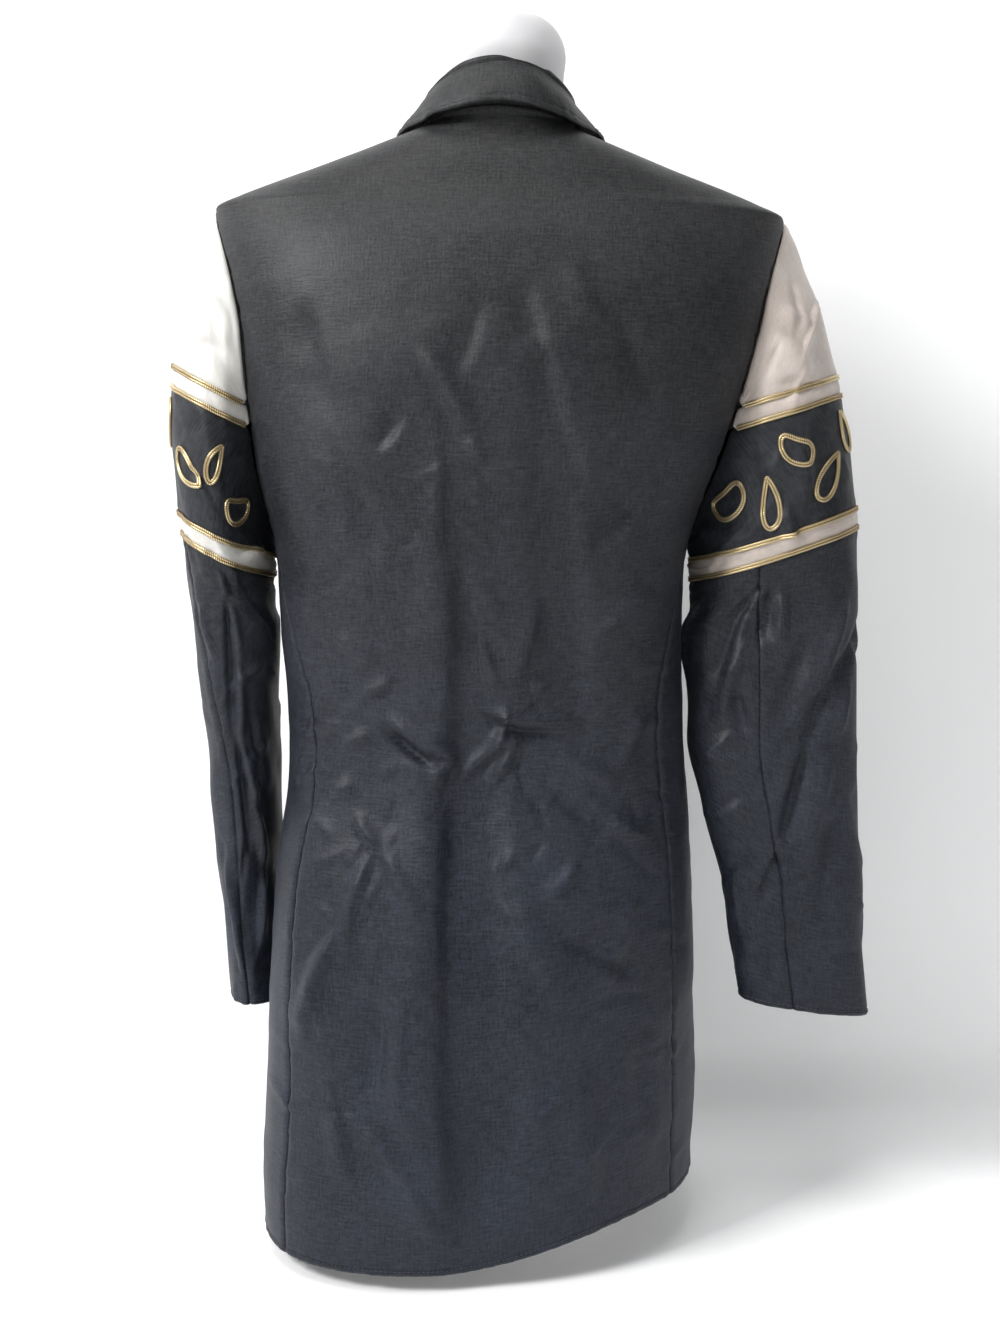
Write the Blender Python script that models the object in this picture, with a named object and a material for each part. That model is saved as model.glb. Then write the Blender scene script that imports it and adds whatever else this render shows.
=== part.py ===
"""A long black linen blazer with white sleeve heads and gold cord, worn by a limbless dress form.

The form stands on its flat base at height 0. The fronts face -Y, the back faces +Y and the
wearer's left is +X. Every panel of cloth is a wall between an outer grid of points and the same
grid moved inwards along the surface's own normals, so that neighbours meet with a straight gap.
"""
import bpy
import numpy as np

# Driving sizes, in metres
CLOTH = 0.0018
SEAM_GAP = 0.0003
LAY_GAP = 0.0010
ARMHOLE_STEPS = 12
PANEL_ROWS = 14
LOWER_ROWS = 12
SHOULDER_ROWS = 5
TIP_HEIGHT = 0.799
UNDERARM_HEIGHT = 0.555
PRINCESS_TOP = 0.5907
NECK_SIDE_HEIGHT = 0.858
NECK_BACK_HEIGHT = 0.850
FRONT_NECK_DROP = 0.006
HEM_BACK_HEIGHT = 0.014
HEM_RISE_RIGHT = 0.030
BREAK_HEIGHT = 0.470
CROSS_HEIGHT = 0.590
FRONT_OVERLAP = 0.022
GORGE_HEIGHT = 0.812
LAPEL_WIDTH = 0.078
SHOULDER_DROP_RIGHT = 0.008
CORD_RADIUS = 0.0019
CORD_SEAT = 0.0007
BUTTON_SEAT = 0.0006
FORM_TOP = 0.944
ARMHOLE_BACK = np.radians(18.0)
ARMHOLE_FRONT = np.radians(14.0)
SIDE_SEAM = np.radians(97.0)
RIGHT_ANGLE = np.pi / 2
BOXINESS = 2.4


def named_columns(names, *rows):
    """A short table: each of its named columns as an array."""
    return dict(zip(names.split(), np.array(rows, float).T))


# The jacket's level sections: how far each lies to the left, its half width, its depths and how
# much it is turned
BODY = named_columns(
    "height centre half_width back front turn",
    (0.000, 0.0160, 0.1700, 0.1300, 0.1270, 0.12),
    (0.060, 0.0155, 0.1715, 0.1300, 0.1260, 0.12),
    (0.134, 0.0125, 0.1705, 0.1280, 0.1240, 0.10),
    (0.216, 0.0130, 0.1680, 0.1220, 0.1200, 0.08),
    (0.260, 0.0125, 0.1660, 0.1160, 0.1180, 0.06),
    (0.300, 0.0115, 0.1630, 0.1080, 0.1150, 0.05),
    (0.360, 0.0090, 0.1565, 0.0930, 0.1100, 0.03),
    (0.410, 0.0105, 0.1540, 0.0870, 0.1080, 0.02),
    (0.480, 0.0145, 0.1560, 0.0940, 0.1150, 0.01),
    (0.530, 0.0150, 0.1565, 0.1030, 0.1270, 0.00),
    (0.585, 0.0125, 0.1690, 0.1120, 0.1360, 0.00),
    (0.620, 0.0090, 0.1790, 0.1160, 0.1340, 0.00),
    (0.670, 0.0040, 0.1940, 0.1160, 0.1200, 0.00),
    (0.724, 0.0000, 0.2060, 0.1080, 0.1020, 0.00),
    (0.770, 0.0000, 0.2125, 0.0940, 0.0860, 0.00),
    (0.799, 0.0000, 0.2145, 0.0775, 0.0715, 0.00),
    (0.806, 0.0000, 0.2000, 0.0735, 0.0680, 0.00),
    (0.830, 0.0000, 0.1325, 0.0660, 0.0620, 0.00),
    (0.858, 0.0000, 0.0560, 0.0540, 0.0520, 0.00),
)

# Where the two back seams run, as the angle from the centre of the back
PRINCESS = named_columns(
    "height degrees",
    (0.000, 62.0),
    (0.100, 61.0),
    (0.200, 63.0),
    (0.300, 65.0),
    (0.430, 67.0),
    (0.486, 72.0),
    (0.540, 79.0),
)

# The largest folds of the body, ridges above 0 and troughs below, each along a straight run.
# Columns: from_x, from_z, to_x, to_z, half_width, rise
BACK_FOLDS = np.array([
    (0.044, 0.52, 0.046, 0.00, 0.0120, 0.0050),
    (0.012, 0.46, 0.016, 0.02, 0.0300, -0.0050),
    (-0.035, 0.66, -0.060, 0.40, 0.0200, -0.0045),
    (-0.010, 0.63, -0.020, 0.45, 0.0150, 0.0030),
    (0.115, 0.423, 0.040, 0.365, 0.0080, 0.0035),
    (0.108, 0.408, 0.045, 0.350, 0.0080, -0.0035),
    (-0.055, 0.415, 0.030, 0.350, 0.0100, -0.0040),
    (-0.070, 0.400, 0.010, 0.330, 0.0090, 0.0035),
    (0.130, 0.24, 0.160, 0.10, 0.0110, 0.0045),
    (0.105, 0.33, 0.060, 0.24, 0.0100, 0.0030),
    (0.108, 0.09, 0.050, 0.04, 0.0100, 0.0040),
    (-0.060, 0.30, -0.035, 0.25, 0.0140, -0.0030),
])
FRONT_FOLDS = np.array([
    (0.110, 0.43, 0.020, 0.39, 0.0100, 0.0030),
    (-0.115, 0.43, -0.020, 0.38, 0.0110, 0.0030),
    (0.090, 0.33, 0.110, 0.06, 0.0200, -0.0040),
    (-0.085, 0.34, -0.100, 0.08, 0.0200, -0.0040),
])

# The sleeves' sections below the armhole; the tilt lifts a section's outer side
SLEEVE_COLUMNS = "height centre_x centre_y half_x half_y tilt"
SLEEVES = {
    "l": named_columns(
        SLEEVE_COLUMNS,
        (0.500, 0.2100, -0.008, 0.0315, 0.062, 0.0160),
        (0.450, 0.2085, -0.012, 0.0295, 0.059, 0.0100),
        (0.375, 0.2055, -0.020, 0.0280, 0.056, 0.0040),
        (0.300, 0.2050, -0.032, 0.0265, 0.053, 0.0020),
        (0.240, 0.2035, -0.044, 0.0240, 0.052, 0.0000),
        (0.174, 0.2015, -0.056, 0.0220, 0.051, 0.0000),
    ),
    "r": named_columns(
        SLEEVE_COLUMNS,
        (0.500, 0.2130, 0.002, 0.0645, 0.043, 0.0170),
        (0.450, 0.2130, 0.005, 0.0650, 0.042, 0.0090),
        (0.400, 0.2130, 0.008, 0.0655, 0.038, 0.0020),
        (0.344, 0.2195, 0.010, 0.0610, 0.034, 0.0000),
        (0.291, 0.2285, 0.011, 0.0560, 0.030, -0.0020),
        (0.235, 0.2345, 0.012, 0.0525, 0.026, -0.0040),
        (0.181, 0.2420, 0.012, 0.0510, 0.022, -0.0070),
    ),
}
SLEEVE_BOXINESS = 2.3
SLEEVE_SWELL = {"l": 0.010, "r": 0.003}
SLEEVE_RADIUS = 0.055
SLEEVE_LENGTH = 0.33
ARMHOLE_GAP = 0.0009
# How strongly the sleeve leaves the armhole, in metres: everywhere, more at the tip, more at the sides
LEAVE_OUT = (0.012, 0.058, 0.040)
LEAVE_DOWN = (0.030, 0.080, 0.120)
LEAVE_BACK = 0.075
LINE_SLOPE = {"l": 0.52, "r": 0.33}
LINE_HEIGHTS = (0.6620, 0.6465, 0.5535, 0.5385)
LINE_MIDDLE = 0.21
BACK_SEAM = {"l": (45.0, 88.0), "r": (106.0, 103.0)}
FRONT_SEAM = 255.0

# The sleeves' largest folds. A run is 0 at the armhole, 1 at the first section, 2 at the cuff.
# Columns: from_degrees, from_run, to_degrees, to_run, half_width, rise
SLEEVE_FOLDS = {
    "l": np.array([
        (62, 0.80, 60, 1.35, 0.0080, 0.0050),
        (60, 1.35, 50, 1.95, 0.0080, 0.0045),
        (95, 0.95, 85, 1.70, 0.0120, -0.0060),
        (20, 1.05, 25, 1.90, 0.0110, -0.0030),
        (300, 1.10, 315, 1.60, 0.0120, -0.0040),
        (60, 0.70, 20, 0.98, 0.0080, -0.0030),
    ]),
    "r": np.array([
        (8, 1.02, 60, 1.22, 0.0090, -0.0065),
        (60, 1.22, 96, 1.62, 0.0090, -0.0055),
        (82, 0.80, 128, 1.10, 0.0110, -0.0050),
        (60, 0.84, 78, 1.28, 0.0120, 0.0040),
        (104, 1.02, 92, 1.50, 0.0110, 0.0035),
        (40, 1.30, 60, 1.95, 0.0120, 0.0030),
        (300, 1.10, 260, 1.50, 0.0120, -0.0040),
    ]),
}

# Closed loops of cord on the band. Columns: degrees round the sleeve, height, turn, length, outline
LOOPS = {
    "l": (
        (22, 0.618, 70, 0.036, "leaf"),
        (58, 0.590, -35, 0.040, "paisley"),
        (88, 0.608, 60, 0.034, "drop"),
        (118, 0.578, 10, 0.036, "leaf"),
        (250, 0.582, -20, 0.036, "paisley"),
        (288, 0.602, 75, 0.034, "drop"),
        (330, 0.588, 20, 0.040, "leaf"),
    ),
    "r": (
        (28, 0.618, 110, 0.034, "drop"),
        (52, 0.585, 30, 0.040, "paisley"),
        (76, 0.615, -25, 0.038, "leaf"),
        (96, 0.581, 75, 0.038, "paisley"),
        (124, 0.590, 20, 0.040, "leaf"),
        (268, 0.590, -15, 0.040, "paisley"),
        (306, 0.610, 60, 0.036, "drop"),
    ),
}

BUTTON_HEIGHTS = (0.455, 0.365, 0.275)
BUTTON_ACROSS = -0.004
BUTTON_RADIUS = 0.0115
BUTTON_THICK = 0.0035
BUTTON_DISH = 0.0021

# The space between the cloth's outer face and the form, by height
FORM_SPACE = named_columns(
    "height space",
    (0.000, 0.0740),
    (0.030, 0.0560),
    (0.080, 0.0340),
    (0.150, 0.0150),
    (0.220, 0.0085),
    (0.370, 0.0130),
    (0.600, 0.0095),
    (0.700, 0.0090),
    (0.761, 0.0068),
    (0.799, 0.0046),
    (0.814, 0.0044),
    (0.830, 0.0038),
    (0.843, 0.0030),
    (0.860, 0.0026),
)

MATERIALS = {
    "black_linen": ((0.036, 0.040, 0.046, 1.0), 0.85, 0.0),
    "white_cotton": ((0.780, 0.750, 0.700, 1.0), 0.60, 0.0),
    "gold_cord": ((0.560, 0.370, 0.130, 1.0), 0.35, 0.8),
    "form_shell": ((0.800, 0.790, 0.760, 1.0), 0.55, 0.0),
    "black_button": ((0.020, 0.020, 0.022, 1.0), 0.30, 0.0),
}


def smooth_step(value, low, high):
    """0 below low, 1 above high, and an even S between them."""
    t = np.clip((value - low) / (high - low), 0.0, 1.0)
    return t * t * (3.0 - 2.0 * t)


def through(table, at, column):
    """The table's column at each height: cubic runs that never overshoot the rows they join."""
    x, y = table["height"], table[column]
    if x[0] > x[-1]:
        x, y = x[::-1], y[::-1]
    step = np.diff(x)
    slope = np.diff(y) / step
    both = slope[:-1] * slope[1:]
    total = np.where(slope[:-1] + slope[1:] == 0, 1.0, slope[:-1] + slope[1:])
    inner = np.where(both > 0, 2.0 * both / total, 0.0)
    rate = np.concatenate([slope[:1], inner, slope[-1:]])
    at = np.clip(at, x[0], x[-1])
    k = np.clip(np.searchsorted(x, at, side="right") - 1, 0, len(step) - 1)
    t = (at - x[k]) / step[k]
    return (
        (2 * t**3 - 3 * t**2 + 1) * y[k]
        + (t**3 - 2 * t**2 + t) * step[k] * rate[k]
        + (3 * t**2 - 2 * t**3) * y[k + 1]
        + (t**3 - t**2) * step[k] * rate[k + 1]
    )


def creases(folds, across, along, height_scale=1.0):
    """The sum of the folds at (across, along): a bell across each run, fading at both ends."""
    total = np.zeros(np.broadcast(across, along).shape)
    for x0, z0, x1, z1, half_width, rise in folds:
        dx, dz = x1 - x0, (z1 - z0) * height_scale
        length = np.hypot(dx, dz)
        px, pz = across - x0, (along - z0) * height_scale
        run = (px * dx + pz * dz) / length**2
        off = (px * dz - pz * dx) / length
        fade = smooth_step(run, -0.05, 0.30) * (1.0 - smooth_step(run, 0.70, 1.05))
        total += rise * fade * np.exp(-((off / half_width) ** 2))
    return total


def settle(points):
    """The right shoulder sits a little lower than the left."""
    drop = SHOULDER_DROP_RIGHT * smooth_step(points[..., 2], 0.56, 0.80)
    drop = drop * np.clip(-points[..., 0] / 0.2145, 0.0, 1.0)
    return points - np.stack([0 * drop, 0 * drop, drop], axis=-1)


def ring(angle, height):
    """A point of the plain body: a rounded box whose polar radius is
    1 / ((|sin| / half_width)^n + (|cos| / depth)^n)^(1/n), with angle 0 at the centre of the back
    and positive to the left, then turned a little by a shear of y along x."""
    centre, half, back, front, turn = (
        through(BODY, height, name) for name in ("centre", "half_width", "back", "front", "turn")
    )
    sine, cosine = np.sin(angle), np.cos(angle)
    depth = np.where(cosine > 0, back, front)
    shares = (np.abs(sine) / half) ** BOXINESS + (np.abs(cosine) / depth) ** BOXINESS
    radius = shares ** (-1 / BOXINESS)
    x = radius * sine
    y = radius * cosine + turn * x
    return np.stack([x + centre, y, height + 0 * x], axis=-1)


def normals(surface, first, second, step_first, step_second):
    """Unit normals of a surface of two parameters, from central differences."""
    along = surface(first + step_first, second) - surface(first - step_first, second)
    across = surface(first, second + step_second) - surface(first, second - step_second)
    normal = np.cross(along, across)
    return normal / np.linalg.norm(normal, axis=-1, keepdims=True)


def body(angle, height):
    """A point of the jacket's outer face: the plain ring moved along its normal by the folds."""
    plain = ring(angle, height)
    outward = -normals(ring, angle, height, 1e-3, 1e-4)
    seen_back = smooth_step(np.cos(angle), 0.05, 0.35)
    seen_front = smooth_step(-np.cos(angle), 0.15, 0.45)
    rise = creases(BACK_FOLDS, plain[..., 0], plain[..., 2]) * seen_back
    rise = rise + creases(FRONT_FOLDS, plain[..., 0], plain[..., 2]) * seen_front
    rise = rise * (1.0 - smooth_step(height, 0.70, 0.76))
    return settle(plain + outward * rise[..., None])


def body_out(angle, height):
    return -normals(body, angle, height, 1e-3, 1e-4)


def armhole(theta):
    """Angle and height of the armhole at theta: 0 at the shoulder tip, 90 degrees at the back and
    180 under the arm. The height follows a cosine and the angle bows to the back and the front."""
    part = (1.0 - np.cos(theta)) / 2.0
    sine = np.sin(theta)
    bow = np.where(sine > 0, ARMHOLE_BACK, ARMHOLE_FRONT) * np.sign(sine) * np.abs(sine) ** 1.5
    angle = RIGHT_ANGLE + (SIDE_SEAM - RIGHT_ANGLE) * part - bow
    return angle, TIP_HEIGHT + (UNDERARM_HEIGHT - TIP_HEIGHT) * part


def theta_at(height):
    part = np.clip((TIP_HEIGHT - height) / (TIP_HEIGHT - UNDERARM_HEIGHT), 0.0, 1.0)
    return np.arccos(1.0 - 2.0 * part)


def princess(height):
    """Angle of the back seam, which ends on the armhole."""
    top_angle = np.degrees(armhole(theta_at(PRINCESS_TOP))[0])
    table = {
        "height": np.append(PRINCESS["height"], PRINCESS_TOP),
        "degrees": np.append(PRINCESS["degrees"], top_angle),
    }
    return np.radians(through(table, np.asarray(height, float), "degrees"))


def hem_height(x):
    """The hem rises towards the wearer's right."""
    return HEM_BACK_HEIGHT + HEM_RISE_RIGHT * (1.0 - smooth_step(x, -0.13, 0.05))


def at_hem(angle, height):
    """Heights near the bottom moved so that the lowest row follows the hem."""
    share = 1.0 - smooth_step(height, 0.0, 0.35)
    x = ring(angle, np.maximum(height, HEM_BACK_HEIGHT))[..., 0]
    return height + hem_height(x) * share


def enclosed(points, faces):
    """Six times the volume inside the faces, by fans of triangles; negative when they face in."""
    total = 0.0
    for face in faces:
        corners = points[face]
        total += np.sum(np.cross(corners[1:-1], corners[2:]) @ corners[0])
    return total


def mesh_object(name, points, faces, material, smooth=True):
    if enclosed(points, faces) < 0:
        faces = [face[::-1] for face in faces]
    mesh = bpy.data.meshes.new(name)
    mesh.from_pydata(points.tolist(), [], faces)
    mesh.validate()
    mesh.polygons.foreach_set("use_smooth", [smooth] * len(mesh.polygons))
    mesh.materials.append(material)
    piece = bpy.data.objects.new(name, mesh)
    bpy.context.scene.collection.objects.link(piece)
    return piece


def wall_faces(rows, columns, closed):
    """Quads of two stacked grids, outer first, joined along every open edge."""
    def index(layer, i, j):
        return layer * rows * columns + i * columns + (j % columns)

    last = columns if closed else columns - 1
    faces = []
    for i in range(rows - 1):
        for j in range(last):
            quad = [(i, j), (i, j + 1), (i + 1, j + 1), (i + 1, j)]
            faces.append([index(0, *corner) for corner in quad])
            faces.append([index(1, *corner) for corner in reversed(quad)])
    for j in range(last):
        faces.append([index(1, 0, j), index(1, 0, j + 1), index(0, 0, j + 1), index(0, 0, j)])
        end = rows - 1
        faces.append([index(0, end, j), index(0, end, j + 1), index(1, end, j + 1), index(1, end, j)])
    if not closed:
        for i in range(rows - 1):
            faces.append([index(0, i, 0), index(0, i + 1, 0), index(1, i + 1, 0), index(1, i, 0)])
            end = columns - 1
            faces.append(
                [index(1, i, end), index(1, i + 1, end), index(0, i + 1, end), index(0, i, end)]
            )
    return faces


def wall(name, outer, outward, material, closed=False, thickness=CLOTH):
    """A closed wall of cloth: the outer grid, and the same grid moved in by the thickness."""
    rows, columns = outer.shape[:2]
    inner = outer - outward * thickness
    points = np.concatenate([outer.reshape(-1, 3), inner.reshape(-1, 3)])
    return mesh_object(name, points, wall_faces(rows, columns, closed), material)


def body_wall(name, angle, height, material, lift=0.0, thickness=CLOTH):
    outward = body_out(angle, height)
    return wall(name, body(angle, height) + outward * lift, outward, material, thickness=thickness)


def half_gap(angle, height):
    """Half a seam's gap as an angle of the ring."""
    flat = ring(angle, height)[..., :2]
    return SEAM_GAP * 0.7 / np.maximum(np.linalg.norm(flat, axis=-1), 0.03)


def armhole_thetas(steps):
    """Angles round the armhole in even steps of the half circle, from low to the shoulder tip."""
    return np.arange(steps, -1, -1) * np.pi / ARMHOLE_STEPS


def make_back(material):
    """One panel between the back seams, up the armholes and over the back of the shoulders."""
    low = np.linspace(0.0, PRINCESS_TOP, PANEL_ROWS)[:-1]
    thetas = armhole_thetas(9)
    arm = armhole(thetas)[1]
    top = np.linspace(TIP_HEIGHT, NECK_SIDE_HEIGHT, SHOULDER_ROWS)[1:]
    height = np.concatenate([low, arm, top])
    edge = np.concatenate([princess(low), armhole(thetas)[0], np.full(len(top), RIGHT_ANGLE)])
    edge = edge - half_gap(edge, height)
    share = np.linspace(-1.0, 1.0, 19)[None, :]
    angle = edge[:, None] * share
    height = np.repeat(height[:, None], share.shape[1], axis=1)
    dip = (NECK_SIDE_HEIGHT - NECK_BACK_HEIGHT) * np.cos(angle) ** 2
    height = height - dip * smooth_step(height, 0.81, NECK_SIDE_HEIGHT)
    return body_wall("back", angle, at_hem(angle, height), material)


def make_side_back(side, sign, material):
    """Between the back seam and the side seam, up to the lower armhole."""
    theta = np.arange(9, ARMHOLE_STEPS + 1)[None, :] * np.pi / ARMHOLE_STEPS
    top_angle, top_height = armhole(theta)
    start = princess(top_height)
    across = (top_angle - start) / (SIDE_SEAM - start)
    up = np.linspace(0.0, 1.0, PANEL_ROWS)[:, None]
    height = up * top_height
    left, right = princess(height), SIDE_SEAM
    left = left + half_gap(left, height)
    right = right - half_gap(right, height)
    angle = (left + (right - left) * across) * sign
    return body_wall(f"side_back_{side}", angle, at_hem(angle, height), material)


def roll_line(height):
    """How far the front edge lies from the middle: past it below the break, then out to the neck."""
    part = np.clip((height - BREAK_HEIGHT) / (NECK_SIDE_HEIGHT - BREAK_HEIGHT), 0.0, 1.0)
    return -FRONT_OVERLAP + (0.053 + FRONT_OVERLAP) * part


def angle_of(across, height):
    """The front angle whose point lies this far across from the body's own middle line, found by
    halving: the plain ring only ever comes nearer to the middle as the angle grows."""
    across, height = np.broadcast_arrays(np.asarray(across, float), np.asarray(height, float))
    low, high = np.full(across.shape, RIGHT_ANGLE), np.full(across.shape, 1.5 * np.pi)
    for _ in range(30):
        middle = (low + high) / 2
        further = ring(middle, height)[..., 0] - through(BODY, height, "centre") > across
        low, high = np.where(further, middle, low), np.where(further, high, middle)
    return (low + high) / 2


def front_rows():
    low = np.linspace(0.0, UNDERARM_HEIGHT, PANEL_ROWS)[:-1]
    thetas = armhole_thetas(ARMHOLE_STEPS)
    arm = armhole(thetas)[1]
    top = np.linspace(TIP_HEIGHT, NECK_SIDE_HEIGHT, SHOULDER_ROWS)[1:]
    top[-1] -= FRONT_NECK_DROP
    height = np.concatenate([low, arm, top])
    side = np.concatenate(
        [np.full(len(low), SIDE_SEAM), armhole(-thetas)[0], np.full(len(top), RIGHT_ANGLE)]
    )
    return height, side


def make_front(side, sign, material):
    """From the side seam and the front armhole to the front edge and the roll line."""
    height, outer = front_rows()
    outer = outer + half_gap(outer, height)
    edge = angle_of(roll_line(height), height)
    share = np.linspace(0.0, 1.0, 10)[None, :]
    angle = (outer[:, None] + (edge - outer)[:, None] * share) * sign
    height = np.repeat(height[:, None], share.shape[1], axis=1)
    lift = front_lift(side, angle, height)
    height = at_hem(angle, height)
    outward = body_out(angle, height)
    points = body(angle, height) + outward * lift[..., None]
    return wall(f"front_{side}", points, outward, material)


def front_lift(side, angle, height):
    """The right front passes over the left one: its rise, which fades out towards its side and
    above the place where the two roll lines cross."""
    if side == "l":
        return np.zeros(np.shape(angle))
    across = ring(np.abs(angle), height)[..., 0] - through(BODY, height, "centre")
    near = 1.0 - smooth_step(across, FRONT_OVERLAP, FRONT_OVERLAP + 0.03)
    return (CLOTH + LAY_GAP) * near * (1.0 - smooth_step(height, CROSS_HEIGHT, CROSS_HEIGHT + 0.08))


def lapel_width(height):
    """Narrow at the break, widest near the top, and cut back at the notch."""
    part = np.clip((height - BREAK_HEIGHT) / (GORGE_HEIGHT - BREAK_HEIGHT), 0.0, 1.0)
    return 0.006 + LAPEL_WIDTH * np.sin(part * RIGHT_ANGLE * 0.97) ** 0.9


def make_lapel(side, sign, material):
    """Lies on the front from the roll line outwards, moved out from the front's own points."""
    foot = BREAK_HEIGHT + (0.012 if side == "r" else 0.070)
    height = np.linspace(foot, GORGE_HEIGHT - 0.012, 11)[:, None]
    share = np.linspace(0.0, 1.0, 6)[None, :]
    inner = roll_line(height)
    outer = inner + lapel_width(height)
    if side == "l":
        inner = np.maximum(inner, -inner)
    across = inner + 0.0015 + (outer - inner) * share
    height = height - 0.016 * share * smooth_step(height, 0.72, GORGE_HEIGHT)
    angle = angle_of(across, height) * sign
    lift = CLOTH + LAY_GAP + front_lift(side, angle, height)
    outward = body_out(angle, height)
    points = body(angle, height) + outward * lift[..., None]
    return wall(f"lapel_{side}", points, outward, material)


# The collar's back, from the middle to the shoulder: the seam, the fold and the fall's edge
# Columns: seam x, y, z; fold x, y, z; fall x, y, z
COLLAR_BACK = np.array([
    (0.0000, 0.0550, 0.8535, 0.0000, 0.0600, 0.8970, 0.0000, 0.0750, 0.8640),
    (0.0260, 0.0500, 0.8545, 0.0270, 0.0550, 0.8930, 0.0330, 0.0690, 0.8600),
    (0.0460, 0.0330, 0.8570, 0.0470, 0.0370, 0.8830, 0.0570, 0.0480, 0.8560),
    (0.0545, 0.0080, 0.8605, 0.0560, 0.0090, 0.8740, 0.0740, 0.0120, 0.8565),
    (0.0545, -0.0200, 0.8600, 0.0570, -0.0230, 0.8680, 0.0835, -0.0230, 0.8525),
])
# The collar's front, down to the notch. Columns: height on the roll line, where the fall's edge
# lies across the front, and its height
COLLAR_FRONT = np.array([
    (0.8460, 0.0890, 0.8330),
    (0.8300, 0.0950, 0.8150),
    (0.8160, 0.0990, 0.8020),
])
COLLAR_LIFT = 0.0058
STAND_SHARE = 0.42
FALL_ROUNDING = 0.0875


def collar_rows():
    """The back rows, then the front rows: seam and fold just over the roll line, and the fall's
    edge on the front panel, moved out from the panel's own points."""
    roll, fall_across, fall_height = COLLAR_FRONT.T
    edge = angle_of(roll_line(roll) + 0.0010, roll)
    seam = ring(edge, roll) - normals(ring, edge, roll, 1e-3, 1e-4) * COLLAR_LIFT
    fold = seam + np.array([0.0022, -0.0020, 0.0035])
    place = angle_of(fall_across, fall_height)
    fall = ring(place, fall_height) - normals(ring, place, fall_height, 1e-3, 1e-4) * COLLAR_LIFT
    return np.vstack([COLLAR_BACK, np.hstack([seam, fold, fall])])


def spline(rows, count):
    """Evenly spaced points of a Catmull-Rom curve through the rows, whose ends are doubled."""
    padded = np.vstack([2 * rows[0] - rows[1], rows, 2 * rows[-1] - rows[-2]])
    at = np.linspace(0.0, len(rows) - 1.0, count)
    k = np.minimum(at.astype(int), len(rows) - 2)
    t = (at - k)[:, None]
    a, b, c, d = (padded[k + shift] for shift in range(4))
    square, cube = 2 * a - 5 * b + 4 * c - d, 3 * b - a - 3 * c + d
    return 0.5 * (2 * b + (c - a) * t + square * t**2 + cube * t**3)


def collar_grid(along_count, across_count):
    """Each row runs up the stand, over a round fold and down the fall, mirrored at the middle."""
    half = collar_rows()
    mirrored = half[:0:-1] * np.array([-1.0, 1.0, 1.0] * 3)
    rows = spline(np.vstack([mirrored, half]), along_count)
    seam, fold, fall = rows[:, 0:3], rows[:, 3:6], rows[:, 6:9]
    part = np.linspace(0.0, 1.0, across_count)[None, :, None]
    stand = np.clip(part / STAND_SHARE, 0.0, 1.0)
    drop = np.clip((part - STAND_SHARE) / (1.0 - STAND_SHARE), 0.0, 1.0)
    up = seam[:, None] + (fold - seam)[:, None] * np.sin(stand * RIGHT_ANGLE)
    down = (fall - fold)[:, None] * drop
    round_out = (fall - seam)[:, None] * np.array([FALL_ROUNDING, FALL_ROUNDING, 0.0])
    return up + down + round_out * np.sin(drop * np.pi)


def grid_normals(grid):
    """Unit normals of a grid of points from its own rows and columns."""
    normal = np.cross(np.gradient(grid, axis=0), np.gradient(grid, axis=1))
    return normal / np.linalg.norm(normal, axis=-1, keepdims=True)


def make_collar(material):
    grid = collar_grid(27, 8)
    outward = grid_normals(grid)
    if outward[len(grid) // 2, 1, 1] > 0:
        outward = -outward
    # The stand faces the neck and the fall faces out, so the wall grows to the far side of both
    return wall("collar", settle(grid), outward, material)


def sleeve_plain(side, theta, run):
    """A point of the sleeve. From run 0 to 1 a cubic leaves the armhole outwards and meets the
    first ring, which is a rounded box; from 1 to 2 the rings follow the table down to the cuff."""
    sign = 1.0 if side == "l" else -1.0
    theta, run = np.broadcast_arrays(np.asarray(theta, float), np.asarray(run, float))
    table = SLEEVES[side]
    first, last = table["height"][0], table["height"][-1]

    def tube(height):
        centre_x, centre_y, half_x, half_y, tilt = (
            through(table, height, name) for name in SLEEVE_COLUMNS.split()[1:]
        )
        c, s = np.cos(theta), np.sin(theta)
        radius = (np.abs(c) ** SLEEVE_BOXINESS + np.abs(s) ** SLEEVE_BOXINESS) ** (-1 / SLEEVE_BOXINESS)
        x = (centre_x + half_x * radius * c) * sign
        return np.stack([x, centre_y + half_y * radius * s, height + tilt * c], axis=-1)

    lower = tube(first + (last - first) * np.clip(run - 1.0, 0.0, 1.0))
    angle, height = armhole(theta)
    start = ring(angle * sign, height) + np.array([ARMHOLE_GAP * sign, 0.0, 0.0])
    end = tube(np.full(theta.shape, first))
    below = tube(np.full(theta.shape, first - 0.02)) - end
    length = np.linalg.norm(end - start, axis=-1, keepdims=True)
    arrive = below / np.linalg.norm(below, axis=-1, keepdims=True) * length
    up = (1.0 + np.cos(theta)) / 2.0
    side_way = np.abs(np.sin(theta))
    (out_0, out_tip, out_side), (down_0, down_tip, down_side) = LEAVE_OUT, LEAVE_DOWN
    leave = np.stack([
        sign * (out_0 + out_tip * up + out_side * side_way),
        LEAVE_BACK * np.sin(theta),
        -(down_0 + down_tip * up + down_side * side_way),
    ], axis=-1)
    t = np.clip(run, 0.0, 1.0)[..., None]
    upper = (
        (2 * t**3 - 3 * t**2 + 1) * start
        + (t**3 - 2 * t**2 + t) * leave
        + (3 * t**2 - 2 * t**3) * end
        + (t**3 - t**2) * arrive
    )
    swell = SLEEVE_SWELL[side] * np.sin(np.pi * t[..., 0]) ** 2 * np.clip(np.cos(theta), 0.0, 1.0)
    upper = upper + np.stack([swell * sign, 0 * swell, 0 * swell], axis=-1)
    return np.where(run[..., None] < 1.0, upper, lower)


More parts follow.
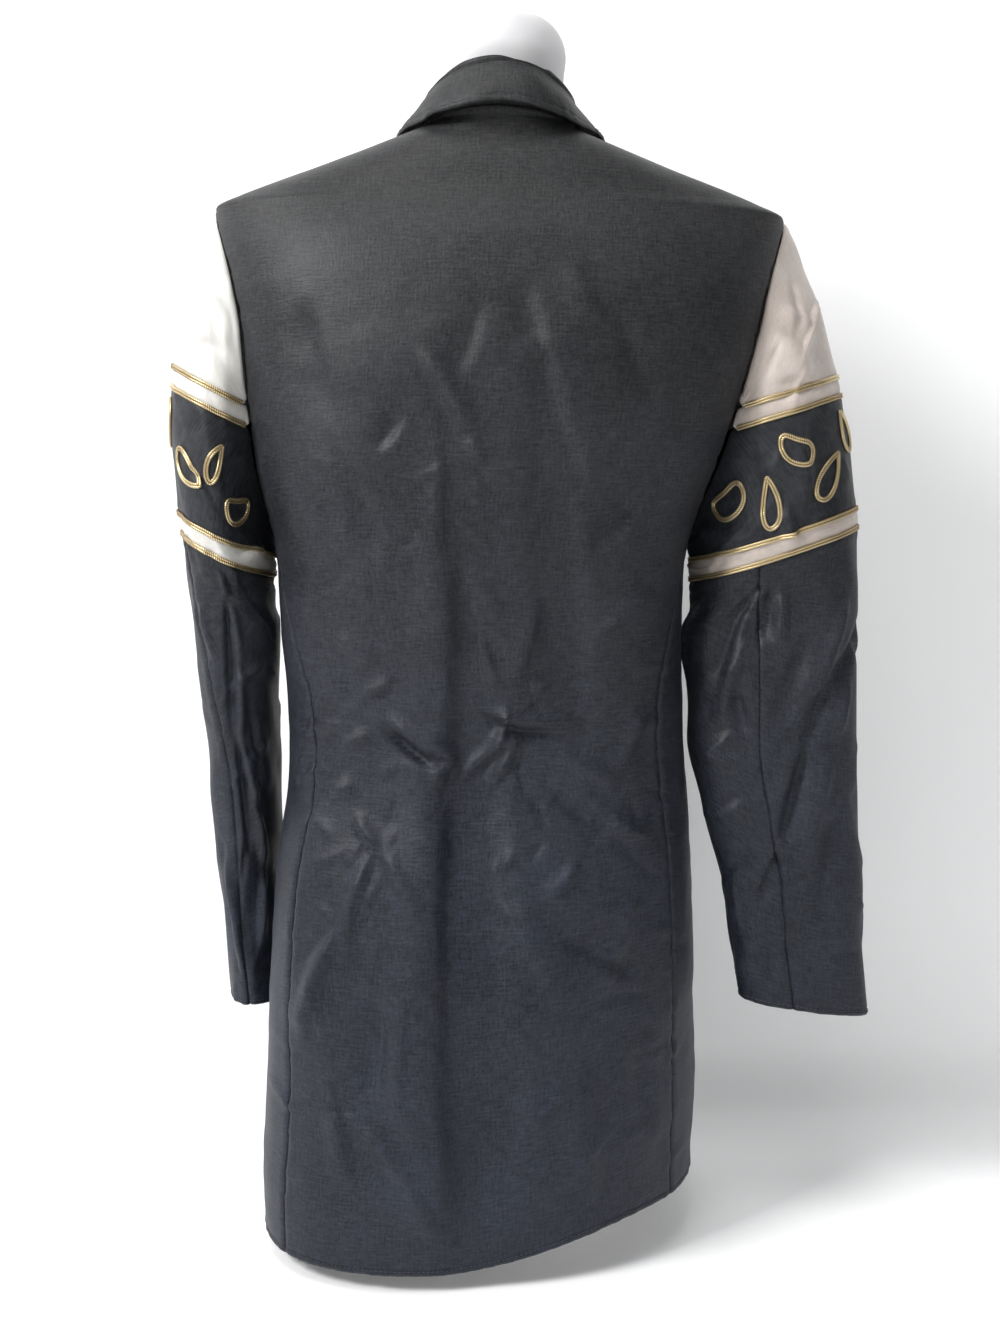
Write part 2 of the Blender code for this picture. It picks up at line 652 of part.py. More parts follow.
def sleeve(side, theta, run):
    """The sleeve's outer face: the plain one moved along its normal by its folds."""
    def plain(a, b):
        return sleeve_plain(side, a, b)

    sign = 1.0 if side == "l" else -1.0
    outward = normals(plain, theta, np.clip(run, 0.002, 1.998), 1e-3, 1e-3) * -sign
    around = SLEEVE_RADIUS * np.asarray(theta, float)
    folds = SLEEVE_FOLDS[side].astype(float)
    folds[:, [0, 2]] = np.radians(folds[:, [0, 2]]) * SLEEVE_RADIUS
    rise = 0.0
    for turn in (0.0, 2 * np.pi * SLEEVE_RADIUS):
        rise = rise + creases(folds, around + turn, run, SLEEVE_LENGTH)
    rise = rise * smooth_step(run, 0.05, 0.25)
    return settle(plain(theta, run) + outward * rise[..., None])


def sleeve_out(side, theta, run):
    def folded(a, b):
        return sleeve(side, a, b)

    sign = 1.0 if side == "l" else -1.0
    return normals(folded, theta, run, 1e-3, 1e-3) * -sign


def run_at_line(side, theta, line_height):
    """Where the sleeve crosses a slanting plane: its run, or 0 where it starts below the plane."""
    low = np.zeros(np.shape(theta))
    high = np.full(np.shape(theta), 1.3)
    for _ in range(26):
        middle = (low + high) / 2
        point = sleeve_plain(side, theta, middle)
        level = point[..., 2] - LINE_SLOPE[side] * (np.abs(point[..., 0]) - LINE_MIDDLE)
        above = level > line_height
        low, high = np.where(above, middle, low), np.where(above, high, middle)
    return np.where(low < 1e-6, 0.0, low)


def ring_thetas(front, back):
    """The armhole's own even steps between two angles, with the two angles as ends."""
    steps = np.arange(-ARMHOLE_STEPS, 2 * ARMHOLE_STEPS + 1) * np.pi / ARMHOLE_STEPS
    inside = steps[(steps > front + 0.06) & (steps < back - 0.06)]
    return np.concatenate([[front], inside, [back]])


def seam_gap_angle(side, theta, run):
    """Half a seam's gap as an angle round the sleeve."""
    step = 0.01
    stretch = np.linalg.norm(
        sleeve_plain(side, theta + step, run) - sleeve_plain(side, theta - step, run), axis=-1
    ) / (2 * step)
    return SEAM_GAP * 0.8 / stretch


def end_theta(side, line_height, least_run, direction):
    """The angle at which a line comes this close to the armhole, going to the back or the front."""
    thetas = np.linspace(0.0, np.pi, 721) * direction
    runs = run_at_line(side, thetas, line_height)
    return thetas[np.argmax(runs < least_run)]


def sleeve_patch(name, side, theta, run, material, closed=False):
    outward = sleeve_out(side, theta, run)
    return wall(name, sleeve(side, theta, run), outward, material, closed=closed)


def between_lines(side, theta, upper, lower, rows):
    """Runs from one line to the next, with half a seam's gap at each."""
    inset = SEAM_GAP / 2
    start = np.zeros(theta.shape) if upper is None else run_at_line(side, theta, upper - inset)
    stop = run_at_line(side, theta, lower + inset)
    return start + (stop - start) * np.linspace(0.0, 1.0, rows)[:, None]


def make_sleeve(side, linen, cotton):
    """The white head and stripes, the black band between them and the two black lower panels."""
    line_1, line_2, line_3, line_4 = LINE_HEIGHTS
    for name, upper, lower, rows in (
        ("sleeve_cap", None, line_1, 7),
        ("stripe_upper", line_1, line_2, 2),
    ):
        ends = (end_theta(side, lower, 0.03, way) for way in (-1, 1))
        theta = ring_thetas(*ends)[None, :] + np.zeros((rows, 1))
        run = between_lines(side, theta[:1], upper, lower, rows)
        sleeve_patch(f"{name}_{side}", side, theta, run, cotton)
    whole = np.arange(2 * ARMHOLE_STEPS)[None, :] * np.pi / ARMHOLE_STEPS
    for name, upper, lower, rows, cloth in (
        ("band", line_2, line_3, 5, linen),
        ("stripe_lower", line_3, line_4, 2, cotton),
    ):
        theta = whole + np.zeros((rows, 1))
        run = between_lines(side, whole, upper, lower, rows)
        sleeve_patch(f"{name}_{side}", side, theta, run, cloth, closed=True)
    share = np.linspace(0.0, 1.0, LOWER_ROWS)[:, None]
    seam_top, seam_cuff = np.radians(BACK_SEAM[side])
    back_seam = seam_top + (seam_cuff - seam_top) * smooth_step(share, 0.0, 0.6)
    front_seam = np.full(share.shape, np.radians(FRONT_SEAM))
    middle = 1.0 + share
    back_gap = seam_gap_angle(side, back_seam, middle)
    front_gap = seam_gap_angle(side, front_seam, middle)
    for name, start, stop in (
        ("topsleeve", front_seam - 2 * np.pi + front_gap, back_seam - back_gap),
        ("undersleeve", back_seam + back_gap, front_seam - front_gap),
    ):
        first = ring_thetas(start[0, 0], stop[0, 0])
        across = (first - first[0]) / (first[-1] - first[0])
        theta = start + (stop - start) * across[None, :]
        begin = run_at_line(side, theta, line_4 - SEAM_GAP / 2)
        sleeve_patch(f"{name}_{side}", side, theta, begin + (2.0 - begin) * share, linen)


def tube_object(name, path, frame_out, material, radius, sides, closed):
    """A cord: a ring of points round each point of a path that lies on a surface."""
    if closed:
        tangent = np.roll(path, -1, axis=0) - np.roll(path, 1, axis=0)
    else:
        tangent = np.gradient(path, axis=0)
    tangent = tangent / np.linalg.norm(tangent, axis=1, keepdims=True)
    beside = np.cross(tangent, frame_out)
    beside = beside / np.linalg.norm(beside, axis=1, keepdims=True)
    out = np.cross(beside, tangent)
    turn = np.arange(sides) * 2 * np.pi / sides + np.pi / sides
    ringed = path[:, None] + radius * (
        np.cos(turn)[None, :, None] * -out[:, None] + np.sin(turn)[None, :, None] * beside[:, None]
    )
    count = len(path)
    faces = []
    for i in range(count if closed else count - 1):
        following = (i + 1) % count
        for j in range(sides):
            k = (j + 1) % sides
            near, far = i * sides, following * sides
            faces.append([near + j, near + k, far + k, far + j])
    if not closed:
        faces.append(list(range(sides))[::-1])
        faces.append([(count - 1) * sides + j for j in range(sides)])
    return mesh_object(name, ringed.reshape(-1, 3), faces, material)


def cord_path(side, theta, line_heights):
    """The cord's middle: its flat inner face, half a radius below it, is just off the cloth."""
    run = run_at_line(side, theta, line_heights)
    outward = sleeve_out(side, theta, run)
    return sleeve(side, theta, run) + outward * (CORD_RADIUS / 2 + CORD_SEAT), outward


def make_cord_lines(side, material):
    """A cord on each edge of the two white stripes; the upper two end at the armhole seam."""
    for number, height in enumerate(LINE_HEIGHTS, start=1):
        if number <= 2:
            back = end_theta(side, height, 0.045, 1)
            front = end_theta(side, height, 0.045, -1)
            theta = ring_thetas(front, back)
        else:
            theta = np.arange(2 * ARMHOLE_STEPS) * np.pi / ARMHOLE_STEPS
        path, outward = cord_path(side, theta, height)
        tube_object(f"cord_{number}_{side}", path, outward, material, CORD_RADIUS, 3, number > 2)


def loop_outline(kind, length, count):
    """A closed outline round the origin: a leaf with two points, a drop with one, or a paisley,
    which is a drop bent round on itself."""
    t = np.linspace(0.0, 2 * np.pi, count, endpoint=False)
    along = np.cos(t) * length / 2
    if kind == "leaf":
        across = np.sin(t) * (0.25 + 0.10 * np.cos(t) ** 2) * length
        across = across + 0.10 * length * np.cos(t) ** 2
    elif kind == "drop":
        across = np.sin(t) * (0.5 - 0.5 * np.cos(t)) ** 0.4 * length * 0.33
    else:
        across = np.sin(t) * (0.5 - 0.5 * np.cos(t)) ** 0.4 * length * 0.32
        across = across + 0.22 * length * (0.5 + 0.5 * np.cos(t)) ** 2
    return along, across


def make_loops(side, material):
    sign = 1.0 if side == "l" else -1.0
    for number, (degrees, height, turn, length, kind) in enumerate(LOOPS[side], start=1):
        along, across = loop_outline(kind, length, 14)
        tilt = np.radians(turn)
        sideways = along * np.cos(tilt) - across * np.sin(tilt)
        upwards = along * np.sin(tilt) + across * np.cos(tilt)
        centre = np.radians(degrees)
        run = run_at_line(side, np.array([centre]), height)
        stretch = np.linalg.norm(
            sleeve_plain(side, centre + 0.05, run) - sleeve_plain(side, centre - 0.05, run), axis=-1
        )[0] / 0.1
        theta = centre + sign * sideways / stretch
        path, outward = cord_path(side, theta, height + upwards)
        tube_object(f"loop_{number}_{side}", path, outward, material, CORD_RADIUS, 3, True)


def make_button(number, height, material):
    """A plain round button with a raised rim, lying on the right front near its edge."""
    angle = -angle_of(np.array(BUTTON_ACROSS), np.array(height))
    outward = body_out(angle, np.array(height))
    seat = body(angle, np.array(height)) + outward * (CLOTH + LAY_GAP + BUTTON_SEAT)
    profile = ((0.0, 1.0), (BUTTON_THICK, 1.0), (BUTTON_THICK, 0.80), (BUTTON_DISH, 0.72))
    turn = np.linspace(0.0, 2 * np.pi, 12, endpoint=False)
    beside = np.cross([0.0, 0.0, 1.0], outward)
    beside = beside / np.linalg.norm(beside)
    above = np.cross(outward, beside)
    spokes = np.cos(turn)[:, None] * beside + np.sin(turn)[:, None] * above
    rings = [seat + outward * rise + spokes * BUTTON_RADIUS * size for rise, size in profile]
    points = np.concatenate(rings)
    sides = len(turn)
    faces = [list(range(sides))]
    for k in range(len(profile) - 1):
        for j in range(sides):
            i = (j + 1) % sides
            near, far = k * sides, (k + 1) * sides
            faces.append([near + i, near + j, far + j, far + i])
    faces.append([(len(profile) - 1) * sides + j for j in range(sides)][::-1])
    return mesh_object(f"button_{number}", points, faces, material)


def form_surface(angle, height):
    """The dress form under the jacket: the plain ring moved inwards by the space beneath the
    cloth, then a round neck with a domed cap."""
    space = through(FORM_SPACE, height, "space")
    return settle(ring(angle, height) + normals(ring, angle, height, 1e-3, 1e-4) * space[..., None])


def make_form(material):
    angle = np.linspace(0.0, 2 * np.pi, 24, endpoint=False)[None, :]
    height = np.concatenate([
        np.array([0.0, 0.03, 0.07, 0.12, 0.18, 0.26, 0.34, 0.43, 0.52, 0.60]),
        armhole(armhole_thetas(5))[1],
        np.linspace(TIP_HEIGHT, NECK_SIDE_HEIGHT, SHOULDER_ROWS)[1:-1],
    ])[:, None]
    torso = form_surface(angle + 0 * height, height + 0 * angle)
    # The neck: height, radius
    neck = np.array([
        (0.856, 0.0505), (0.872, 0.0475), (0.895, 0.0480), (0.912, 0.0495),
        (0.926, 0.0450), (0.936, 0.0350), (0.942, 0.0190),
    ])
    cap = np.stack([
        neck[:, 1:] * np.sin(angle), neck[:, 1:] * np.cos(angle), neck[:, :1] + 0 * angle,
    ], axis=-1)
    grid = np.concatenate([torso, cap])
    rows, columns = grid.shape[:2]
    grid[0, :, 2] = 0.0
    points = np.concatenate([grid.reshape(-1, 3), [(0.0, 0.0, FORM_TOP)]])
    faces = []
    for i in range(rows - 1):
        for j in range(columns):
            k = (j + 1) % columns
            near, far = i * columns, (i + 1) * columns
            faces.append([near + k, near + j, far + j, far + k])
    top = (rows - 1) * columns
    for j in range(columns):
        faces.append([top + (j + 1) % columns, top + j, rows * columns])
    faces.append(list(range(columns)))
    return mesh_object("dress_form", points, faces, material)


def make_material(name):
    colour, roughness, metallic = MATERIALS[name]
    material = bpy.data.materials.new(name)
    material.use_nodes = True
    shader = material.node_tree.nodes["Principled BSDF"]
    shader.inputs["Base Color"].default_value = colour
    shader.inputs["Roughness"].default_value = roughness
    shader.inputs["Metallic"].default_value = metallic
    return material


def main():
    for old in list(bpy.data.objects):
        bpy.data.objects.remove(old)
    linen, cotton, gold, shell, button = (make_material(name) for name in MATERIALS)
    make_form(shell)
    make_back(linen)
    make_collar(linen)
    for side, sign in (("l", 1.0), ("r", -1.0)):
        make_side_back(side, sign, linen)
        make_front(side, sign, linen)
        make_lapel(side, sign, linen)
        make_sleeve(side, linen, cotton)
        make_cord_lines(side, gold)
        make_loops(side, gold)
    for number, height in enumerate(BUTTON_HEIGHTS, start=1):
        make_button(number, height, button)


main()
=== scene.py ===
"""The looks of a long black linen blazer with white sleeve heads and gold cord, on a dress form.

Every panel is built again on the same surface as its solid, with many more points: the plain ring
or sleeve moved along its own normal by creases, rolled edges and stitched lines, and closed by an
inner layer one cloth's thickness in. The jacket's back faces +Y and the wearer's left is +X.
"""

import bpy
import numpy as np
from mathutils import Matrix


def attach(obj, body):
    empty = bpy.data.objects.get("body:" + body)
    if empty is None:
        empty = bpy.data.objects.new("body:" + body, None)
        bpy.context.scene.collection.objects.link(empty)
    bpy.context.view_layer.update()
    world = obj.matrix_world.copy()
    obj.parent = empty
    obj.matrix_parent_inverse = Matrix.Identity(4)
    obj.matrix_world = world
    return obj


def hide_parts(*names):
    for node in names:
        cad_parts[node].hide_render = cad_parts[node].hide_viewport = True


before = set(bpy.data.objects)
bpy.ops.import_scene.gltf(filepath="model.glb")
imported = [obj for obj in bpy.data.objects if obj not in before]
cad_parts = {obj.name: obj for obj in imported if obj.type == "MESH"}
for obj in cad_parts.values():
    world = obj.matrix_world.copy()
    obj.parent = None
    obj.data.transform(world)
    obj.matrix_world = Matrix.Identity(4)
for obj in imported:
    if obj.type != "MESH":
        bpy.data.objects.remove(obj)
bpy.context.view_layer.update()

# Driving sizes, in metres, as in the solids
CLOTH = 0.0018
SEAM_LAP = 0.00015
LAY_GAP = 0.0010
TIP_HEIGHT = 0.799
UNDERARM_HEIGHT = 0.555
PRINCESS_TOP = 0.5907
NECK_SIDE_HEIGHT = 0.858
FRONT_NECK_DROP = 0.006
HEM_BACK_HEIGHT = 0.014
HEM_RISE_RIGHT = 0.030
BREAK_HEIGHT = 0.470
CROSS_HEIGHT = 0.590
FRONT_OVERLAP = 0.022
GORGE_HEIGHT = 0.812
LAPEL_WIDTH = 0.078
LAPEL_LEAST = 0.006
SHOULDER_DROP_RIGHT = 0.008
SHOULDER_HALF = 0.2145
NECK_HALF = 0.053
ARMHOLE_BACK = np.radians(18.0)
ARMHOLE_FRONT = np.radians(14.0)
SIDE_SEAM = np.radians(97.0)
RIGHT_ANGLE = np.pi / 2
LAPEL_TURN = 0.97 * RIGHT_ANGLE
BOXINESS = 2.4

# Where changes start and end, in metres: the right shoulder's drop, by height; the hem's rise, by
# how far to the left; the reach of the hem's slant, and the smoother cloth of the shoulders, by height
DROP_SPAN = (0.56, 0.80)
HEM_SPAN = (-0.13, 0.05)
SLANT_SPAN = (0.0, 0.35)
SMOOTH_SPAN = (0.70, 0.78)
FRONT_LAP_FADE = 0.03
CROSS_FADE = 0.08

# The creases of each side fade by the cosine of the angle from the middle of that side
BACK_SEEN = (0.05, 0.35)
FRONT_SEEN = (0.15, 0.45)
SHOULDER_CREASE_SHARE = 0.15

# Waves in the cloth. Columns: seed, size, rise
WAVES = {
    "body": (7, 0.12, 0.0007),
    "body, fine": (8, 0.030, 0.00018),
    "sleeve": (9, 0.05, 0.0006),
    "seam": (21, 0.011, 0.00040),
    "stitched": (23, 0.009, 0.00030),
    "collar": (31, 0.055, 0.0008),
}
# Each uneven surface has this many waves, whose sum is divided by the second value
WAVE_COUNT = 14
WAVE_SUM = 3.7

# Finish sizes, in metres
GRID_STEP = 0.0036
EDGE_STEPS = np.array([0.0, 0.0008, 0.0018, 0.0030, 0.0048, 0.0075])
NECK_UNDER_FALL = 0.006
NECK_FLARE = 0.0064
LAPEL_HEAD_DROP = 0.012
LAPEL_SLANT = 0.016
LAPEL_FOOT = {"l": 0.070, "r": 0.012}
STRAND_RADIUS = 0.00100
STRAND_PITCH = 0.0034
STRAND_STEP = 0.0008
STRAND_SIDES = 8
HEM_STITCH = 0.0045
STITCH_LENGTH = 0.0026
STITCH_GAP = 0.0009
STITCH_RADIUS = 0.00026
STITCH_POINTS = 5
BUTTON_HEIGHTS = (0.455, 0.365, 0.275)
BUTTON_ACROSS = -0.004
BUTTON_RADIUS = 0.0115
BUTTON_THICKNESS = 0.0026
BUTTON_HOLE_OUT = 0.0026
BUTTON_HOLE_DEPTH = 0.0016
BUTTON_THREAD_RADIUS = 0.00030

# The face beside an edge. Columns: centre of the bell, its width, its rise
EDGE_ROLL = (0.0, 0.0013, -0.0011)
SEAM_RIDGE = (0.0055, 0.0030, 0.00045)
STITCH_GROOVE = (HEM_STITCH, 0.0011, -0.00060)
STITCH_SWELL = (0.0022, 0.0014, 0.00035)
PUCKER_REACH = {"seam": 0.009, "stitched": 0.010}

# Which way a side lies along x
SIGN = {"l": 1.0, "r": -1.0}

# Steps for the slopes of a surface: an angle or a run, and a height
ANGLE_STEP = 1e-3
HEIGHT_STEP = 1e-4

# Linear colours of each finish
LINEN = {
    "hem hollow": (0.0030, 0.0045, 0.0090, 1.0),
    "hem thread": (0.0280, 0.0340, 0.0520, 1.0),
    "shoulder hollow": (0.0050, 0.0055, 0.0065, 1.0),
    "shoulder thread": (0.0350, 0.0355, 0.0365, 1.0),
}
# The cotton's own ivory on the left; the right's darker, browner colours are painted shade on the right
# sleeve
COTTON_AND_PAINTED_SHADE = {
    "left": (0.670, 0.660, 0.630, 1.0),
    "left shade": (0.500, 0.485, 0.450, 1.0),
    "right": (0.690, 0.610, 0.555, 1.0),
    "right shade": (0.400, 0.340, 0.300, 1.0),
}
# The gold's own colour for the crests, and painted shade for the hollows between the plies
GOLD_AND_PAINTED_SHADE = {"hollow": (0.240, 0.150, 0.060, 1.0), "crest": (0.950, 0.810, 0.500, 1.0)}
THREAD = {"dark": (0.018, 0.020, 0.024, 1.0), "light": (0.060, 0.064, 0.070, 1.0)}
SHELL = {"dull": (0.610, 0.605, 0.620, 1.0), "bright": (0.700, 0.690, 0.695, 1.0)}
BUTTON = {"black": (0.010, 0.010, 0.011, 1.0), "brown": (0.050, 0.042, 0.036, 1.0)}
SWEEP = {"dull": (0.900, 0.900, 0.905, 1.0), "bright": (0.925, 0.925, 0.925, 1.0)}
WHITE = (1.0, 1.0, 1.0, 1.0)
DAYLIGHT = (0.96, 0.98, 1.0, 1.0)

# Lights. Columns: name, place, height that it aims at, size, power
LIGHTS = (
    ("key", (1.6, 1.2, 1.9), 0.50, 0.7, 62.0),
    ("fill", (-1.4, 2.0, 0.7), 0.45, 1.4, 7.0),
    ("front", (-1.3, -1.9, 1.7), 0.50, 0.9, 30.0),
    ("top", (0.2, 0.8, 2.4), 0.50, 0.8, 14.0),
)
WORLD_STRENGTH = 0.22
STAGE_REACH = 3.0
STAGE_BEND = 0.05
STAGE_WALL = -0.26
CAMERA_PLACE = (0.0, 1.25, 0.595)
CAMERA_PITCH = np.radians(83.4)
CAMERA_LENS = 28.84
SENSOR_HEIGHT = 24.0


def named_columns(names, *rows):
    """A short table: each of its named columns as an array."""
    return dict(zip(names.split(), np.array(rows, float).T))


# The jacket's level sections: how far each lies to the left, its half width, its depths and how
# much it is turned
BODY = named_columns(
    "height centre half_width back front turn",
    (0.000, 0.0160, 0.1700, 0.1300, 0.1270, 0.12),
    (0.060, 0.0155, 0.1715, 0.1300, 0.1260, 0.12),
    (0.134, 0.0125, 0.1705, 0.1280, 0.1240, 0.10),
    (0.216, 0.0130, 0.1680, 0.1220, 0.1200, 0.08),
    (0.260, 0.0125, 0.1660, 0.1160, 0.1180, 0.06),
    (0.300, 0.0115, 0.1630, 0.1080, 0.1150, 0.05),
    (0.360, 0.0090, 0.1565, 0.0930, 0.1100, 0.03),
    (0.410, 0.0105, 0.1540, 0.0870, 0.1080, 0.02),
    (0.480, 0.0145, 0.1560, 0.0940, 0.1150, 0.01),
    (0.530, 0.0150, 0.1565, 0.1030, 0.1270, 0.00),
    (0.585, 0.0125, 0.1690, 0.1120, 0.1360, 0.00),
    (0.620, 0.0090, 0.1790, 0.1160, 0.1340, 0.00),
    (0.670, 0.0040, 0.1940, 0.1160, 0.1200, 0.00),
    (0.724, 0.0000, 0.2060, 0.1080, 0.1020, 0.00),
    (0.770, 0.0000, 0.2125, 0.0940, 0.0860, 0.00),
    (0.799, 0.0000, 0.2145, 0.0775, 0.0715, 0.00),
    (0.806, 0.0000, 0.2000, 0.0735, 0.0680, 0.00),
    (0.830, 0.0000, 0.1325, 0.0660, 0.0620, 0.00),
    (0.858, 0.0000, 0.0560, 0.0540, 0.0520, 0.00),
)

# Where the two back seams run, as the angle from the centre of the back
PRINCESS = named_columns(
    "height degrees",
    (0.000, 62.0),
    (0.100, 61.0),
    (0.200, 63.0),
    (0.300, 65.0),
    (0.430, 67.0),
    (0.486, 72.0),
    (0.540, 79.0),
)
# How far the form lies inside the cloth. Columns: height, room
FORM_ROOM = np.array([
    (0.000, 0.0740), (0.030, 0.0560), (0.080, 0.0340), (0.150, 0.0150), (0.220, 0.0085),
    (0.370, 0.0130), (0.600, 0.0095), (0.700, 0.0090), (0.761, 0.0068), (0.799, 0.0046),
    (0.814, 0.0044), (0.830, 0.0038), (0.843, 0.0032), (0.870, 0.0032),
])

# The form's neck and domed cap. Columns: height, radius
FORM_NECK = np.array([
    (0.856, 0.0505), (0.872, 0.0475), (0.895, 0.0480), (0.912, 0.0495),
    (0.926, 0.0450), (0.936, 0.0350), (0.942, 0.0190), (0.944, 0.0001),
])

# Creases of the back, ridges above 0 and troughs below.
# Columns: from_x, from_z, to_x, to_z, bow, half_width, rise
BACK_FOLDS = np.array([
    (0.012, 0.460, 0.016, 0.020, 0.0000, 0.0300, -0.0050),
    (-0.035, 0.660, -0.060, 0.400, 0.0000, 0.0200, -0.0045),
    (0.040, 0.560, 0.048, 0.370, 0.0000, 0.0190, 0.0034),
    (0.048, 0.400, 0.054, 0.170, 0.0000, 0.0260, 0.0044),
    (0.054, 0.215, 0.045, 0.025, 0.0000, 0.0240, 0.0040),
    (0.107, 0.433, 0.077, 0.449, 0.0000, 0.0050, 0.0020),
    (0.083, 0.423, 0.030, 0.392, -0.0029, 0.0055, 0.0042),
    (0.086, 0.413, 0.039, 0.384, -0.0022, 0.0055, -0.0040),
    (0.073, 0.417, 0.046, 0.382, 0.0022, 0.0040, 0.0022),
    (0.030, 0.390, 0.049, 0.379, 0.0000, 0.0040, 0.0030),
    (0.032, 0.374, -0.014, 0.409, 0.0029, 0.0060, 0.0024),
    (0.019, 0.432, -0.059, 0.417, -0.0072, 0.0060, 0.0026),
    (0.016, 0.422, -0.043, 0.412, -0.0058, 0.0060, -0.0024),
    (-0.006, 0.430, 0.004, 0.398, 0.0022, 0.0045, 0.0020),
    (-0.015, 0.408, 0.013, 0.368, 0.0022, 0.0050, 0.0022),
    (0.004, 0.309, -0.012, 0.324, 0.0000, 0.0040, 0.0016),
    (-0.058, 0.316, -0.034, 0.292, 0.0022, 0.0060, 0.0020),
    (0.107, 0.350, 0.088, 0.325, -0.0014, 0.0060, 0.0022),
    (0.088, 0.325, 0.058, 0.273, 0.0029, 0.0060, 0.0026),
    (0.094, 0.323, 0.115, 0.253, -0.0022, 0.0065, 0.0024),
    (0.119, 0.268, 0.149, 0.178, -0.0029, 0.0080, 0.0030),
    (0.106, 0.126, 0.065, 0.083, 0.0029, 0.0070, 0.0026),
    (0.065, 0.083, 0.046, 0.045, 0.0000, 0.0070, 0.0026),
    (0.057, 0.687, 0.021, 0.627, 0.0029, 0.0080, 0.0022),
    (0.021, 0.627, 0.011, 0.607, 0.0000, 0.0060, 0.0020),
    (0.069, 0.644, 0.089, 0.617, 0.0014, 0.0070, -0.0018),
    (-0.015, 0.734, -0.028, 0.690, 0.0000, 0.0110, -0.0024),
    (-0.028, 0.690, -0.042, 0.636, 0.0000, 0.0110, -0.0024),
    (-0.042, 0.636, -0.059, 0.584, 0.0014, 0.0110, -0.0022),
    (0.042, 0.624, 0.046, 0.511, 0.0000, 0.0090, 0.0020),
    (0.120, 0.396, 0.092, 0.409, 0.0014, 0.0050, 0.0016),
    (0.131, 0.366, 0.107, 0.369, -0.0014, 0.0060, 0.0014),
    (0.022, 0.352, 0.028, 0.247, 0.0000, 0.0160, -0.0026),
    (-0.000, 0.292, -0.044, 0.210, 0.0043, 0.0140, 0.0022),
    (-0.044, 0.262, -0.103, 0.225, 0.0043, 0.0120, -0.0018),
    (-0.015, 0.187, -0.000, 0.064, 0.0000, 0.0180, -0.0026),
    (-0.055, 0.172, -0.067, 0.064, 0.0000, 0.0160, 0.0022),
    (-0.087, 0.381, -0.111, 0.425, 0.0000, 0.0080, 0.0018),
    (-0.071, 0.482, -0.114, 0.511, 0.0036, 0.0090, 0.0018),
    (-0.064, 0.539, -0.106, 0.582, 0.0043, 0.0100, -0.0016),
    (-0.072, 0.352, -0.112, 0.329, -0.0029, 0.0070, 0.0015),
    (0.121, 0.482, 0.092, 0.462, -0.0022, 0.0070, 0.0016),
    (0.130, 0.511, 0.099, 0.539, 0.0029, 0.0090, -0.0014),
    (0.106, 0.596, 0.085, 0.539, 0.0022, 0.0100, -0.0015),
    (-0.084, 0.720, -0.105, 0.652, 0.0036, 0.0120, -0.0016),
    (0.139, 0.720, 0.119, 0.638, -0.0043, 0.0140, -0.0018),
    (0.088, 0.232, 0.094, 0.141, 0.0022, 0.0140, -0.0024),
    (0.070, 0.217, 0.075, 0.134, 0.0000, 0.0080, 0.0018),
    (-0.102, 0.292, -0.073, 0.217, 0.0029, 0.0090, 0.0016),
    (0.125, 0.156, 0.110, 0.079, 0.0000, 0.0090, 0.0016),
    (0.027, 0.539, 0.021, 0.454, 0.0000, 0.0090, -0.0016),
    (-0.028, 0.511, -0.014, 0.446, 0.0000, 0.0100, 0.0018),
    (0.014, 0.482, -0.000, 0.439, 0.0000, 0.0060, 0.0014),
    (-0.043, 0.396, -0.087, 0.374, -0.0036, 0.0070, 0.0017),
    (-0.032, 0.374, -0.072, 0.344, -0.0029, 0.0060, -0.0014),
    (-0.103, 0.172, -0.115, 0.103, 0.0000, 0.0090, -0.0016),
    (0.015, 0.720, 0.035, 0.665, 0.0029, 0.0120, -0.0012),
    (-0.047, 0.754, -0.070, 0.700, 0.0000, 0.0140, 0.0014),
])
FRONT_FOLDS = np.array([
    (0.110, 0.430, 0.020, 0.390, 0.0030, 0.0100, 0.0030),
    (-0.115, 0.430, -0.020, 0.380, -0.0030, 0.0110, 0.0030),
    (0.090, 0.330, 0.110, 0.060, 0.0040, 0.0200, -0.0040),
    (-0.085, 0.340, -0.100, 0.080, -0.0040, 0.0200, -0.0040),
    (0.100, 0.410, 0.030, 0.365, 0.0030, 0.0060, 0.0024),
    (0.095, 0.398, 0.035, 0.352, 0.0030, 0.0060, -0.0022),
    (-0.100, 0.405, -0.030, 0.357, -0.0030, 0.0060, 0.0024),
    (-0.110, 0.452, -0.030, 0.440, 0.0040, 0.0070, 0.0020),
    (0.115, 0.470, 0.035, 0.452, 0.0040, 0.0070, 0.0020),
    (0.120, 0.560, 0.080, 0.500, 0.0040, 0.0090, 0.0022),
    (-0.120, 0.560, -0.085, 0.500, -0.0040, 0.0090, 0.0022),
    (0.060, 0.270, 0.080, 0.130, 0.0030, 0.0120, 0.0026),
    (-0.055, 0.265, -0.075, 0.120, 0.0030, 0.0120, 0.0026),
    (0.130, 0.660, 0.110, 0.600, 0.0030, 0.0100, -0.0018),
    (-0.130, 0.650, -0.112, 0.600, -0.0030, 0.0100, -0.0018),
    (0.040, 0.170, 0.030, 0.060, 0.0000, 0.0140, -0.0020),
])

